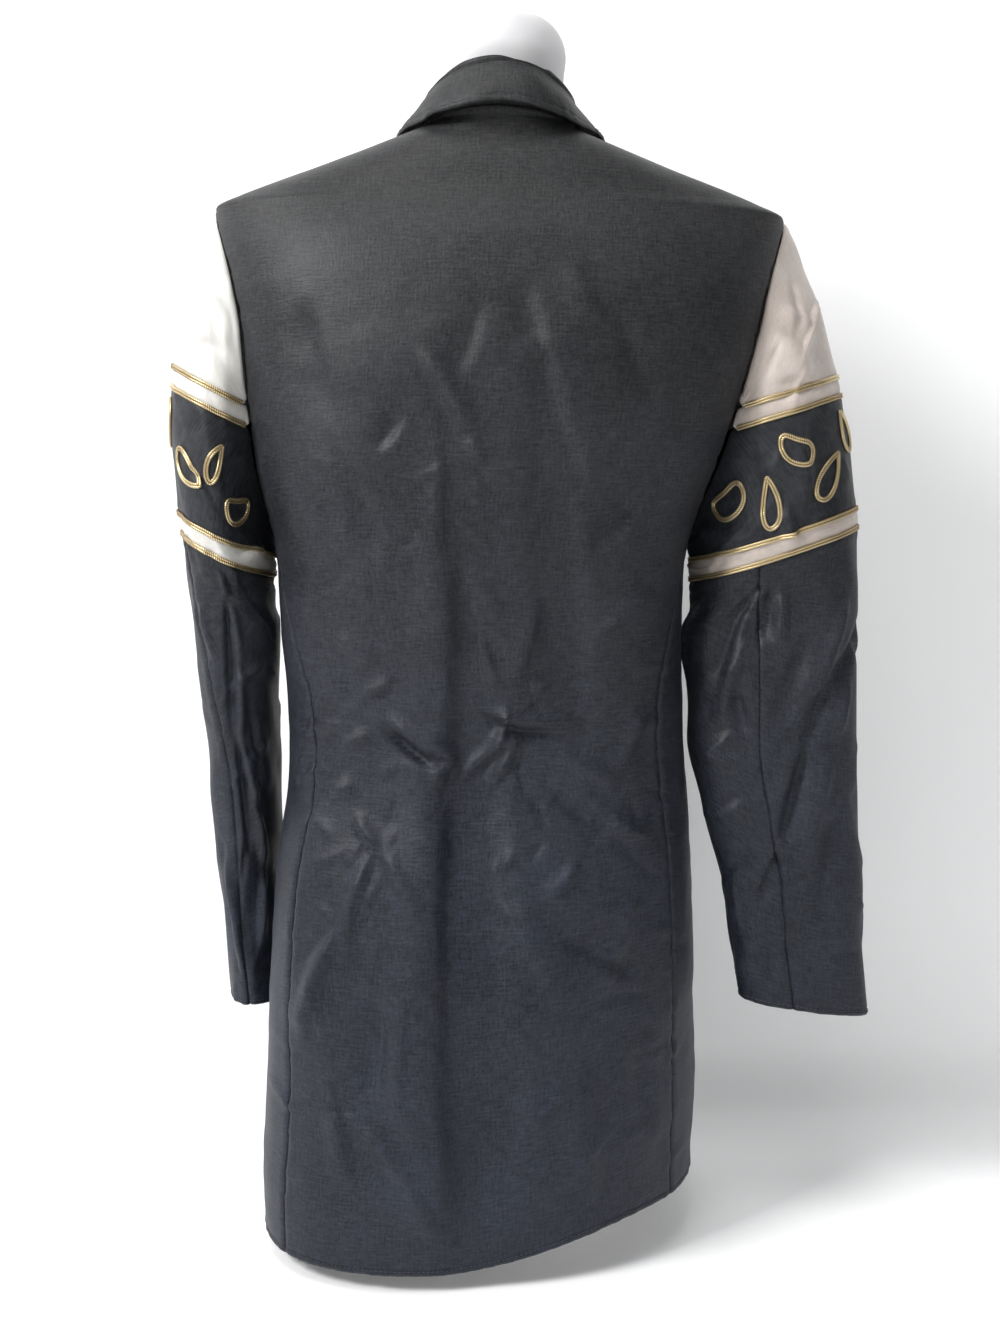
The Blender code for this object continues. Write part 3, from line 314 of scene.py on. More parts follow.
# The sleeves' sections below the armhole; the tilt lifts a section's outer side
SLEEVE_COLUMNS = "height centre_x centre_y half_x half_y tilt"
SLEEVES = {
    "l": named_columns(
        SLEEVE_COLUMNS,
        (0.500, 0.2100, -0.008, 0.0315, 0.062, 0.0160),
        (0.450, 0.2085, -0.012, 0.0295, 0.059, 0.0100),
        (0.375, 0.2055, -0.020, 0.0280, 0.056, 0.0040),
        (0.300, 0.2050, -0.032, 0.0265, 0.053, 0.0020),
        (0.240, 0.2035, -0.044, 0.0240, 0.052, 0.0000),
        (0.174, 0.2015, -0.056, 0.0220, 0.051, 0.0000),
    ),
    "r": named_columns(
        SLEEVE_COLUMNS,
        (0.500, 0.2130, 0.002, 0.0645, 0.043, 0.0170),
        (0.450, 0.2130, 0.005, 0.0650, 0.042, 0.0090),
        (0.400, 0.2130, 0.008, 0.0655, 0.038, 0.0020),
        (0.344, 0.2195, 0.010, 0.0610, 0.034, 0.0000),
        (0.291, 0.2285, 0.011, 0.0560, 0.030, -0.0020),
        (0.235, 0.2345, 0.012, 0.0525, 0.026, -0.0040),
        (0.181, 0.2420, 0.012, 0.0510, 0.022, -0.0070),
    ),
}
SLEEVE_BOXINESS = 2.3
SLEEVE_SWELL = {"l": 0.010, "r": 0.003}
SLEEVE_RADIUS = 0.055
SLEEVE_GIRTH = 2 * np.pi * SLEEVE_RADIUS
SLEEVE_LENGTH = 0.33
ARMHOLE_GAP = 0.0009
# How strongly the sleeve leaves the armhole, in metres: everywhere, more at the tip, more at the sides
LEAVE_OUT = (0.012, 0.058, 0.040)
LEAVE_DOWN = (0.030, 0.080, 0.120)
LEAVE_BACK = 0.075
LINE_SLOPE = {"l": 0.52, "r": 0.33}
LINE_HEIGHTS = (0.6620, 0.6465, 0.5535, 0.5385)
LINE_MIDDLE = 0.21
BACK_SEAM = {"l": (45.0, 88.0), "r": (106.0, 103.0)}
FRONT_SEAM = 255.0
# Creases of the sleeves. A run is 0 at the armhole, 1 at the first section, 2 at the cuff.
# Columns: from_degrees, from_run, to_degrees, to_run, bow, half_width, rise
SLEEVE_FOLDS = {
    "l": np.array([
        (20, 1.05, 25, 1.90, 0.0000, 0.0110, -0.0030),
        (300, 1.10, 315, 1.60, 0.0000, 0.0120, -0.0040),
        (94, 0.82, 102, 0.92, 0.0000, 0.0050, 0.0025),
        (102, 0.92, 110, 1.11, 0.0000, 0.0060, 0.0035),
        (110, 1.11, 105, 1.31, 0.0000, 0.0060, 0.0035),
        (105, 1.31, 122, 1.48, 0.0000, 0.0060, 0.0030),
        (122, 1.48, 129, 1.64, 0.0000, 0.0060, 0.0030),
        (129, 1.64, 116, 1.84, 0.0000, 0.0060, 0.0030),
        (104, 0.88, 94, 1.27, 0.0000, 0.0070, -0.0035),
        (99, 1.31, 110, 1.59, 0.0000, 0.0060, -0.0030),
        (62, 1.00, 77, 1.13, 0.0000, 0.0050, 0.0018),
        (81, 1.22, 146, 1.10, 0.0029, 0.0050, 0.0020),
        (85, 1.42, 148, 1.31, 0.0022, 0.0050, 0.0018),
        (67, 1.61, 83, 1.93, 0.0000, 0.0080, 0.0022),
        (121, 0.74, 159, 1.04, 0.0029, 0.0060, -0.0022),
        (123, 1.21, 132, 1.46, 0.0000, 0.0060, -0.0020),
        (64, 0.02, 71, 0.13, 0.0000, 0.0060, 0.0015),
        (40, 0.17, 74, 0.03, 0.0022, 0.0050, 0.0014),
        (52, 0.27, 89, 0.02, 0.0014, 0.0050, -0.0015),
        (38, 0.04, 57, 0.04, 0.0000, 0.0060, 0.0012),
        (57, 0.61, 92, 0.51, 0.0014, 0.0050, -0.0016),
        (124, 0.59, 152, 0.27, 0.0000, 0.0050, 0.0020),
    ]),
    "r": np.array([
        (300, 1.10, 260, 1.50, 0.0000, 0.0120, -0.0040),
        (4, 1.06, 56, 1.19, 0.0014, 0.0060, -0.0050),
        (56, 1.19, 70, 1.33, 0.0000, 0.0060, -0.0050),
        (70, 1.33, 97, 1.58, 0.0000, 0.0060, -0.0040),
        (97, 1.58, 124, 1.73, 0.0000, 0.0060, -0.0030),
        (39, 1.02, 67, 1.23, 0.0014, 0.0060, 0.0030),
        (76, 1.32, 101, 1.56, 0.0000, 0.0060, 0.0026),
        (104, 0.85, 135, 1.17, 0.0029, 0.0070, -0.0035),
        (97, 0.88, 99, 1.08, 0.0000, 0.0060, -0.0030),
        (89, 0.93, 91, 1.10, 0.0000, 0.0050, 0.0020),
        (70, 1.07, 88, 1.30, 0.0022, 0.0070, -0.0030),
        (121, 1.17, 113, 1.30, 0.0000, 0.0050, -0.0022),
        (155, 0.76, 176, 1.16, 0.0000, 0.0060, 0.0020),
        (112, 1.06, 129, 1.27, 0.0022, 0.0060, 0.0022),
        (152, 1.37, 120, 1.29, 0.0022, 0.0060, 0.0018),
        (155, 1.52, 116, 1.46, 0.0022, 0.0060, 0.0018),
        (170, 1.69, 121, 1.59, 0.0022, 0.0060, -0.0016),
        (55, 1.37, 77, 1.61, 0.0022, 0.0080, 0.0024),
        (45, 1.47, 71, 1.76, 0.0022, 0.0080, -0.0020),
        (89, 1.71, 121, 1.94, 0.0022, 0.0080, 0.0018),
        (35, 1.19, 48, 1.32, 0.0000, 0.0060, 0.0018),
        (20, 0.26, 58, 0.27, 0.0022, 0.0050, 0.0020),
        (39, 0.07, 49, 0.22, -0.0022, 0.0050, -0.0018),
        (76, 0.02, 51, 0.34, -0.0022, 0.0050, 0.0018),
        (60, 0.06, 40, 0.30, -0.0022, 0.0050, 0.0018),
        (81, 0.15, 41, 0.47, 0.0000, 0.0040, -0.0012),
        (89, 0.03, 67, 0.13, 0.0022, 0.0050, -0.0018),
        (105, 0.11, 98, 0.47, 0.0022, 0.0070, -0.0016),
        (69, 0.38, 69, 0.66, 0.0022, 0.0070, 0.0016),
        (150, 0.07, 117, 0.55, 0.0022, 0.0060, 0.0016),
        (89, 0.57, 81, 0.78, 0.0000, 0.0040, 0.0030),
    ]),
}
CREASE_STRENGTH = 2.7
CREASE_NARROWING = 0.80
CREASE_START = (-0.10, 0.35)
CREASE_END = (0.65, 1.10)
SHADED_SHARE = 0.65
LIT_SHARE = 1.35
# The ranges that the small creases are drawn from, in metres
SMALL_LENGTH = (0.015, 0.060)
SMALL_WIDTH = (0.0028, 0.0065)
SMALL_RISE = (0.0003, 0.0009)
SMALL_BOW = 0.0025
# Creases level off near these: ridges of the body, and ridges and troughs of the sleeves
BODY_RIDGE = 0.0100
LEAST_ROOM = 0.0012
SLEEVE_RIDGE = 0.0080
SLEEVE_TROUGH = 0.0060
SLEEVE_TOUCH = 0.0045
TOUCH_RUN = 1.04
TOUCH_WIDTH = 0.13
HIDDEN_SHIFT = 24.0
HIDDEN_SHARE = 0.7
SLEEVE_SEED = {"l": 11, "r": 12}

# Closed loops of cord on the band. Columns: degrees round the sleeve, height, turn, length, outline
LOOPS = {
    "l": (
        (22, 0.618, 70, 0.036, "leaf"),
        (58, 0.590, -35, 0.040, "paisley"),
        (88, 0.608, 60, 0.034, "drop"),
        (118, 0.578, 10, 0.036, "leaf"),
        (250, 0.582, -20, 0.036, "paisley"),
        (288, 0.602, 75, 0.034, "drop"),
        (330, 0.588, 20, 0.040, "leaf"),
    ),
    "r": (
        (28, 0.618, 110, 0.034, "drop"),
        (52, 0.585, 30, 0.040, "paisley"),
        (76, 0.615, -25, 0.038, "leaf"),
        (96, 0.581, 75, 0.038, "paisley"),
        (124, 0.590, 20, 0.040, "leaf"),
        (268, 0.590, -15, 0.040, "paisley"),
        (306, 0.610, 60, 0.036, "drop"),
    ),
}


def smooth_step(value, low, high):
    """0 below low, 1 above high, and an even S between them."""
    t = np.clip((value - low) / (high - low), 0.0, 1.0)
    return t * t * (3.0 - 2.0 * t)


def bell(place, centre, width, rise=1.0):
    """A bell this high at the centre that fades to both sides."""
    return rise * np.exp(-(((place - centre) / width) ** 2))


def cubic(t, start, leave, end, arrive):
    """A cubic from start at t = 0 to end at t = 1 that leaves and arrives with these slopes."""
    back = t - 1.0
    return (
        (1.0 + 2.0 * t) * back**2 * start
        + t * back**2 * leave
        + t**2 * (3.0 - 2.0 * t) * end
        + t**2 * back * arrive
    )


def through(table, at, column):
    """The table's column at each height: cubic runs that never overshoot the rows they join."""
    x, y = table["height"], table[column]
    if x[0] > x[-1]:
        x, y = x[::-1], y[::-1]
    step = np.diff(x)
    straight = np.diff(y) / step
    both = straight[:-1] * straight[1:]
    total = straight[:-1] + straight[1:]
    inner = np.where(both > 0, 2.0 * both / np.where(total == 0, 1.0, total), 0.0)
    rate = np.concatenate([straight[:1], inner, straight[-1:]])
    at = np.clip(at, x[0], x[-1])
    k = np.clip(np.searchsorted(x, at, side="right") - 1, 0, len(step) - 1)
    t = (at - x[k]) / step[k]
    return cubic(t, y[k], step[k] * rate[k], y[k + 1], step[k] * rate[k + 1])


def creases(folds, across, along, height_scale=1.0):
    """The sum of the creases at (across, along). Each is a bell across a bowed run that is steeper
    on its shaded side, which is the lower one or the right one, and it fades at both ends."""
    total = np.zeros(np.broadcast(across, along).shape)
    for x0, z0, x1, z1, bow, half_width, rise in folds:
        dx, dz = x1 - x0, (z1 - z0) * height_scale
        length = np.hypot(dx, dz)
        px, pz = across - x0, (along - z0) * height_scale
        run = (px * dx + pz * dz) / length**2
        off = (px * dz - pz * dx) / length - 4.0 * bow * run * (1.0 - run)
        fade = smooth_step(run, *CREASE_START) * (1.0 - smooth_step(run, *CREASE_END))
        shaded = off * (np.sign(dx) if abs(dx) > abs(dz) / 2 else -np.sign(dz))
        width = half_width * CREASE_NARROWING * np.where(shaded > 0, SHADED_SHARE, LIT_SHARE)
        width = width * (0.8 + 0.4 * np.clip(run, 0.0, 1.0))
        total += bell(off, 0.0, width, rise * fade)
    return total


def small_creases(seed, count, low, high, scale=1.0):
    """Rows of short, shallow creases at random between two corners, mostly level or slanting."""
    rng = np.random.default_rng(seed)
    start = rng.uniform(low, high, (count, 2))
    turn = rng.normal(0.0, 0.7, count) + rng.choice([0.3, -0.5, 1.4], count)
    length = rng.uniform(*SMALL_LENGTH, count)
    way = np.stack([np.cos(turn) * length, np.sin(turn) * length / scale], axis=1)
    bow = rng.normal(0.0, SMALL_BOW, count)
    width = rng.uniform(*SMALL_WIDTH, count)
    rise = rng.uniform(*SMALL_RISE, count) * rng.choice([-1.0, 1.0, 1.0], count)
    return np.column_stack([start, start + way, bow, width, rise])


def rumple(kind, u, v):
    """An uneven surface: the sum of 14 sine waves of about one size in random directions."""
    seed, size, rise = WAVES[kind]
    rng = np.random.default_rng(seed)
    total = 0.0
    for _ in range(WAVE_COUNT):
        turn = rng.uniform(0.0, np.pi)
        wave = 2 * np.pi / (size * rng.uniform(0.5, 1.8))
        total = total + np.sin((u * np.cos(turn) + v * np.sin(turn)) * wave + rng.uniform(0.0, 6.28))
    return total / WAVE_SUM * rise


def settle(points):
    """The right shoulder sits a little lower than the left."""
    drop = SHOULDER_DROP_RIGHT * smooth_step(points[..., 2], *DROP_SPAN)
    drop = drop * np.clip(-points[..., 0] / SHOULDER_HALF, 0.0, 1.0)
    return points - np.stack([0 * drop, 0 * drop, drop], axis=-1)


def ring(angle, height):
    """A point of the plain body: a rounded box whose polar radius is
    1 / ((|sin| / half_width)^n + (|cos| / depth)^n)^(1/n), with angle 0 at the centre of the back
    and positive to the left, then turned a little by a shear of y along x."""
    centre, half, back, front, turn = (
        through(BODY, height, name) for name in ("centre", "half_width", "back", "front", "turn")
    )
    sine, cosine = np.sin(angle), np.cos(angle)
    depth = np.where(cosine > 0, back, front)
    shares = (np.abs(sine) / half) ** BOXINESS + (np.abs(cosine) / depth) ** BOXINESS
    radius = shares ** (-1 / BOXINESS)
    x = radius * sine
    y = radius * cosine + turn * x
    return np.stack([x + centre, y, height + 0 * x], axis=-1)


def unit(vectors):
    """The same vectors, 1 long."""
    return vectors / np.maximum(np.linalg.norm(vectors, axis=-1, keepdims=True), 1e-12)


def normals(surface, first, second, step_first, step_second):
    """Unit normals of a surface of two parameters, from central differences."""
    along = surface(first + step_first, second) - surface(first - step_first, second)
    across = surface(first, second + step_second) - surface(first, second - step_second)
    return unit(np.cross(along, across))


def body_out(angle, height):
    """The way out of the body: the plain ring's unit normal."""
    return -normals(ring, angle, height, ANGLE_STEP, HEIGHT_STEP)


BACK_CREASES = np.vstack([BACK_FOLDS, small_creases(3, 150, (-0.15, 0.04), (0.15, 0.62))])
FRONT_CREASES = np.vstack([FRONT_FOLDS, small_creases(5, 110, (-0.15, 0.04), (0.15, 0.58))])


def levelled(rise, trough, ridge):
    """Creases that level off near the deepest trough and the highest ridge."""
    return np.where(rise < 0, trough * np.tanh(rise / trough), ridge * np.tanh(rise / ridge))


def body(angle, height):
    """A point of the jacket's outer face: the plain ring moved along its normal by the creases of
    its own side and by slight waves, all of them weaker over the shoulders."""
    plain = ring(angle, height)
    across, level = plain[..., 0], plain[..., 0] + plain[..., 1] * 0.8
    seen_back = smooth_step(np.cos(angle), *BACK_SEEN)
    seen_front = smooth_step(-np.cos(angle), *FRONT_SEEN)
    rise = creases(BACK_CREASES, across, plain[..., 2]) * seen_back
    rise = rise + creases(FRONT_CREASES, across, plain[..., 2]) * seen_front
    room = np.interp(height, *FORM_ROOM.T) - CLOTH - LEAST_ROOM
    rise = levelled(rise * CREASE_STRENGTH, room, BODY_RIDGE)
    low = 1.0 - smooth_step(height, *SMOOTH_SPAN)
    waves = rumple("body", level, height) * (0.25 + 0.75 * low)
    waves = waves + rumple("body, fine", level, height) * (0.3 + 0.7 * low)
    move = rise * (SHOULDER_CREASE_SHARE + (1.0 - SHOULDER_CREASE_SHARE) * low) + waves
    return settle(plain + body_out(angle, height) * move[..., None])


def armhole(theta):
    """Angle and height of the armhole at theta: 0 at the shoulder tip, 90 degrees at the back and
    180 under the arm. The height follows a cosine and the angle bows to the back and the front."""
    part = (1.0 - np.cos(theta)) / 2.0
    sine = np.sin(theta)
    bow = np.where(sine > 0, ARMHOLE_BACK, ARMHOLE_FRONT) * np.sign(sine) * np.abs(sine) ** 1.5
    angle = RIGHT_ANGLE + (SIDE_SEAM - RIGHT_ANGLE) * part - bow
    return angle, TIP_HEIGHT + (UNDERARM_HEIGHT - TIP_HEIGHT) * part


def theta_at(height):
    """The armhole's theta at a height, from its cosine."""
    part = np.clip((TIP_HEIGHT - height) / (TIP_HEIGHT - UNDERARM_HEIGHT), 0.0, 1.0)
    return np.arccos(1.0 - 2.0 * part)


def princess(height):
    """Angle of the back seam, which ends on the armhole."""
    top_angle = np.degrees(armhole(theta_at(PRINCESS_TOP))[0])
    table = {
        "height": np.append(PRINCESS["height"], PRINCESS_TOP),
        "degrees": np.append(PRINCESS["degrees"], top_angle),
    }
    return np.radians(through(table, np.asarray(height, float), "degrees"))


def hem_height(x):
    """The hem rises towards the wearer's right."""
    return HEM_BACK_HEIGHT + HEM_RISE_RIGHT * (1.0 - smooth_step(x, *HEM_SPAN))


def at_hem(angle, height):
    """Heights near the bottom moved so that the lowest row follows the hem."""
    share = 1.0 - smooth_step(height, *SLANT_SPAN)
    x = ring(angle, np.maximum(height, HEM_BACK_HEIGHT))[..., 0]
    return height + hem_height(x) * share


def roll_line(height):
    """How far the front edge lies from the middle: past it below the break, then out to the neck."""
    part = np.clip((height - BREAK_HEIGHT) / (NECK_SIDE_HEIGHT - BREAK_HEIGHT), 0.0, 1.0)
    return -FRONT_OVERLAP + (NECK_HALF + FRONT_OVERLAP) * part


def angle_of(across, height):
    """The front angle whose point lies this far across from the body's own middle line, found by
    halving: the plain ring only ever comes nearer to the middle as the angle grows."""
    across, height = np.broadcast_arrays(np.asarray(across, float), np.asarray(height, float))
    low, high = np.full(across.shape, RIGHT_ANGLE), np.full(across.shape, 1.5 * np.pi)
    for _ in range(30):
        middle = (low + high) / 2
        further = ring(middle, height)[..., 0] - through(BODY, height, "centre") > across
        low, high = np.where(further, middle, low), np.where(further, high, middle)
    return (low + high) / 2


def front_lift(side, angle, height):
    """The right front passes over the left one: its rise, which fades out towards its side and
    above the place where the two roll lines cross."""
    if side == "l":
        return np.zeros(np.shape(angle))
    across = ring(np.abs(angle), height)[..., 0] - through(BODY, height, "centre")
    near = 1.0 - smooth_step(across, FRONT_OVERLAP, FRONT_OVERLAP + FRONT_LAP_FADE)
    low = 1.0 - smooth_step(height, CROSS_HEIGHT, CROSS_HEIGHT + CROSS_FADE)
    return (CLOTH + LAY_GAP) * near * low


def lapel_width(height):
    """Narrow at the break, widest near the top, and cut back at the notch."""
    part = np.clip((height - BREAK_HEIGHT) / (GORGE_HEIGHT - BREAK_HEIGHT), 0.0, 1.0)
    return LAPEL_LEAST + LAPEL_WIDTH * np.sin(part * LAPEL_TURN) ** 0.9


# The collar's back, from the middle to the shoulder: the seam, the fold and the fall's edge
# Columns: seam x, y, z; fold x, y, z; fall x, y, z
COLLAR_BACK = np.array([
    (0.0000, 0.0550, 0.8535, 0.0000, 0.0600, 0.8970, 0.0000, 0.0750, 0.8640),
    (0.0260, 0.0500, 0.8545, 0.0270, 0.0550, 0.8930, 0.0330, 0.0690, 0.8600),
    (0.0460, 0.0330, 0.8570, 0.0470, 0.0370, 0.8830, 0.0570, 0.0480, 0.8560),
    (0.0545, 0.0080, 0.8605, 0.0560, 0.0090, 0.8740, 0.0740, 0.0120, 0.8565),
    (0.0545, -0.0200, 0.8600, 0.0570, -0.0230, 0.8680, 0.0835, -0.0230, 0.8525),
])
# The collar's front, down to the notch. Columns: height on the roll line, where the fall's edge
# lies across the front, and its height
COLLAR_FRONT = np.array([
    (0.8460, 0.0890, 0.8330),
    (0.8300, 0.0950, 0.8150),
    (0.8160, 0.0990, 0.8020),
])
COLLAR_LIFT = 0.0058
COLLAR_OVER_ROLL = 0.0010
COLLAR_FOLD_STEP = np.array([0.0022, -0.0020, 0.0035])
STAND_SHARE = 0.42
FALL_ROUNDING = 0.0875


def collar_rows():
    """The back rows, then the front rows: seam and fold just over the roll line, and the fall's
    edge on the front panel, moved out from the panel's own points."""
    roll, fall_across, fall_height = COLLAR_FRONT.T
    edge = angle_of(roll_line(roll) + COLLAR_OVER_ROLL, roll)
    seam = ring(edge, roll) + body_out(edge, roll) * COLLAR_LIFT
    place = angle_of(fall_across, fall_height)
    fall = ring(place, fall_height) + body_out(place, fall_height) * COLLAR_LIFT
    return np.vstack([COLLAR_BACK, np.hstack([seam, seam + COLLAR_FOLD_STEP, fall])])


def spline(rows, count):
    """Evenly spaced points of a Catmull-Rom curve through the rows, whose ends are doubled."""
    padded = np.vstack([2 * rows[0] - rows[1], rows, 2 * rows[-1] - rows[-2]])
    at = np.linspace(0.0, len(rows) - 1.0, count)
    k = np.minimum(at.astype(int), len(rows) - 2)
    t = (at - k)[:, None]
    a, b, c, d = (padded[k + shift] for shift in range(4))
    square, cube = 2 * a - 5 * b + 4 * c - d, 3 * b - a - 3 * c + d
    return 0.5 * (2 * b + (c - a) * t + square * t**2 + cube * t**3)


def collar_grid(along_count, across_count):
    """Each row runs up the stand, over a round fold and down the fall, mirrored at the middle."""
    half = collar_rows()
    mirrored = half[:0:-1] * np.array([-1.0, 1.0, 1.0] * 3)
    rows = spline(np.vstack([mirrored, half]), along_count)
    seam, fold, fall = rows[:, 0:3], rows[:, 3:6], rows[:, 6:9]
    part = np.linspace(0.0, 1.0, across_count)[None, :, None]
    stand = np.clip(part / STAND_SHARE, 0.0, 1.0)
    drop = np.clip((part - STAND_SHARE) / (1.0 - STAND_SHARE), 0.0, 1.0)
    up = seam[:, None] + (fold - seam)[:, None] * np.sin(stand * RIGHT_ANGLE)
    down = (fall - fold)[:, None] * drop
    round_out = (fall - seam)[:, None] * np.array([FALL_ROUNDING, FALL_ROUNDING, 0.0])
    return up + down + round_out * np.sin(drop * np.pi)


def sleeve_plain(side, theta, run):
    """A point of the sleeve. From run 0 to 1 a cubic leaves the armhole outwards and meets the
    first ring, which is a rounded box; from 1 to 2 the rings follow the table down to the cuff."""
    sign, table = SIGN[side], SLEEVES[side]
    theta, run = np.broadcast_arrays(np.asarray(theta, float), np.asarray(run, float))
    first, last = table["height"][0], table["height"][-1]

    def tube(height):
        """A rounded box round the sleeve's line at a height of the table."""
        centre_x, centre_y, half_x, half_y, tilt = (
            through(table, height, name) for name in SLEEVE_COLUMNS.split()[1:]
        )
        c, s = np.cos(theta), np.sin(theta)
        radius = (np.abs(c) ** SLEEVE_BOXINESS + np.abs(s) ** SLEEVE_BOXINESS) ** (-1 / SLEEVE_BOXINESS)
        x = (centre_x + half_x * radius * c) * sign
        return np.stack([x, centre_y + half_y * radius * s, height + tilt * c], axis=-1)

    lower = tube(first + (last - first) * np.clip(run - 1.0, 0.0, 1.0))
    angle, height = armhole(theta)
    start = ring(angle * sign, height) + np.array([ARMHOLE_GAP * sign, 0.0, 0.0])
    end = tube(np.full(theta.shape, first))
    below = tube(np.full(theta.shape, first - 0.02)) - end
    length = np.linalg.norm(end - start, axis=-1, keepdims=True)
    arrive = below / np.linalg.norm(below, axis=-1, keepdims=True) * length
    up = (1.0 + np.cos(theta)) / 2.0
    side_way = np.abs(np.sin(theta))
    (out_0, out_tip, out_side), (down_0, down_tip, down_side) = LEAVE_OUT, LEAVE_DOWN
    leave = np.stack([
        sign * (out_0 + out_tip * up + out_side * side_way),
        LEAVE_BACK * np.sin(theta),
        -(down_0 + down_tip * up + down_side * side_way),
    ], axis=-1)
    t = np.clip(run, 0.0, 1.0)[..., None]
    swell = SLEEVE_SWELL[side] * np.sin(np.pi * t) ** 2 * np.clip(np.cos(theta), 0.0, 1.0)[..., None]
    upper = cubic(t, start, leave, end, arrive) + swell * [sign, 0.0, 0.0]
    return np.where(run[..., None] < 1.0, upper, lower)


def sleeve_folds(side):
    """The sleeve's creases in metres round it, with similar, weaker ones on the hidden side."""
    seen = SLEEVE_FOLDS[side].astype(float)
    hidden = seen[seen[:, 0] < 180].copy()
    hidden[:, [0, 2]] = 360.0 - hidden[:, [0, 2]] + HIDDEN_SHIFT
    hidden[:, [1, 3]] = np.clip(hidden[:, [1, 3]] + 0.05, 0.0, 1.98)
    hidden[:, 6] *= HIDDEN_SHARE
    folds = np.vstack([seen, hidden])
    folds[:, [0, 2]] = np.radians(folds[:, [0, 2]]) * SLEEVE_RADIUS
    small = small_creases(SLEEVE_SEED[side], 90, (0.0, 0.10), (SLEEVE_GIRTH, 1.95), SLEEVE_LENGTH)
    return np.vstack([folds, small * [1, 1, 1, 1, 1, 1.4, 0.6]])


SLEEVE_CREASES = {side: sleeve_folds(side) for side in ("l", "r")}


def sleeve_out(side, theta, run):
    """The way out of the sleeve: the plain sleeve's unit normal."""
    def plain(theta, run):
        return sleeve_plain(side, theta, run)

    return normals(plain, theta, np.clip(run, 0.002, 1.998), ANGLE_STEP, ANGLE_STEP) * -SIGN[side]


def sleeve(side, theta, run):
    """The sleeve's outer face: the plain one moved along its normal by its creases, a low swell
    where it lies against the body, and slight waves. Creases that pass the back of the sleeve's
    angle go on at its start."""
    theta, run = np.broadcast_arrays(np.asarray(theta, float), np.asarray(run, float))
    around = SLEEVE_RADIUS * theta
    turns = (-SLEEVE_GIRTH, 0.0, SLEEVE_GIRTH)
    rise = sum(creases(SLEEVE_CREASES[side], around + turn, run, SLEEVE_LENGTH) for turn in turns)
    rise = rise * smooth_step(run, 0.02, 0.20) * CREASE_STRENGTH
    rise = levelled(rise, SLEEVE_TROUGH, SLEEVE_RIDGE)
    beside_body = bell(run, TOUCH_RUN, TOUCH_WIDTH) * np.clip(-np.cos(theta), 0.0, 1.0) ** 2
    level = run * SLEEVE_LENGTH + np.sin(theta) * 0.06
    waves = rumple("sleeve", np.cos(theta) * 0.08, level)
    move = rise + SLEEVE_TOUCH * beside_body + waves
    return settle(sleeve_plain(side, theta, run) + sleeve_out(side, theta, run) * move[..., None])


def run_at_line(side, theta, line_height):
    """Where the sleeve crosses a slanting plane: its run, or 0 where it starts below the plane."""
    low = np.zeros(np.shape(theta))
    high = np.full(np.shape(theta), 1.3)
    for _ in range(26):
        middle = (low + high) / 2
        point = sleeve_plain(side, theta, middle)
        level = point[..., 2] - LINE_SLOPE[side] * (np.abs(point[..., 0]) - LINE_MIDDLE)
        above = level > line_height
        low, high = np.where(above, middle, low), np.where(above, high, middle)
    return np.where(low < 1e-6, 0.0, low)


def end_theta(side, line_height, least_run, direction):
    """The angle at which a line comes this close to the armhole, going to the back or the front."""
    thetas = np.linspace(0.0, np.pi, 721) * direction
    runs = run_at_line(side, thetas, line_height)
    return thetas[np.argmax(runs < least_run)]


def between_lines(side, theta, upper, lower, rows):
    """Runs from one line to the next at these shares of the way, lapping the panels beside them."""
    start = 0.0 if upper is None else run_at_line(side, theta, upper + SEAM_LAP)
    stop = run_at_line(side, theta, lower - SEAM_LAP)
    return start + (stop - start) * rows[:, None]


def loop_outline(kind, length, count):
    """A closed outline round the origin: a leaf with two points, a drop with one, or a paisley,
    which is a drop bent round on itself."""
    t = np.linspace(0.0, 2 * np.pi, count, endpoint=False)
    cosine, sine = np.cos(t), np.sin(t)
    if kind == "leaf":
        across = sine * (0.25 + 0.10 * cosine**2) + 0.10 * cosine**2
    else:
        across = sine * (0.5 - 0.5 * cosine) ** 0.4 * (0.33 if kind == "drop" else 0.32)
    if kind == "paisley":
        across = across + 0.22 * (0.5 + 0.5 * cosine) ** 2
    return cosine * length / 2, across * length


class Wire:
    """A shader value that adds and multiplies as Math nodes do."""

    def __init__(self, graph, socket):
        self.graph = graph
        self.socket = socket

    def __add__(self, other):
        return self.graph.math("ADD", self, other)

    def __mul__(self, other):
        return self.graph.math("MULTIPLY", self, other)

    __radd__ = __add__
    __rmul__ = __mul__


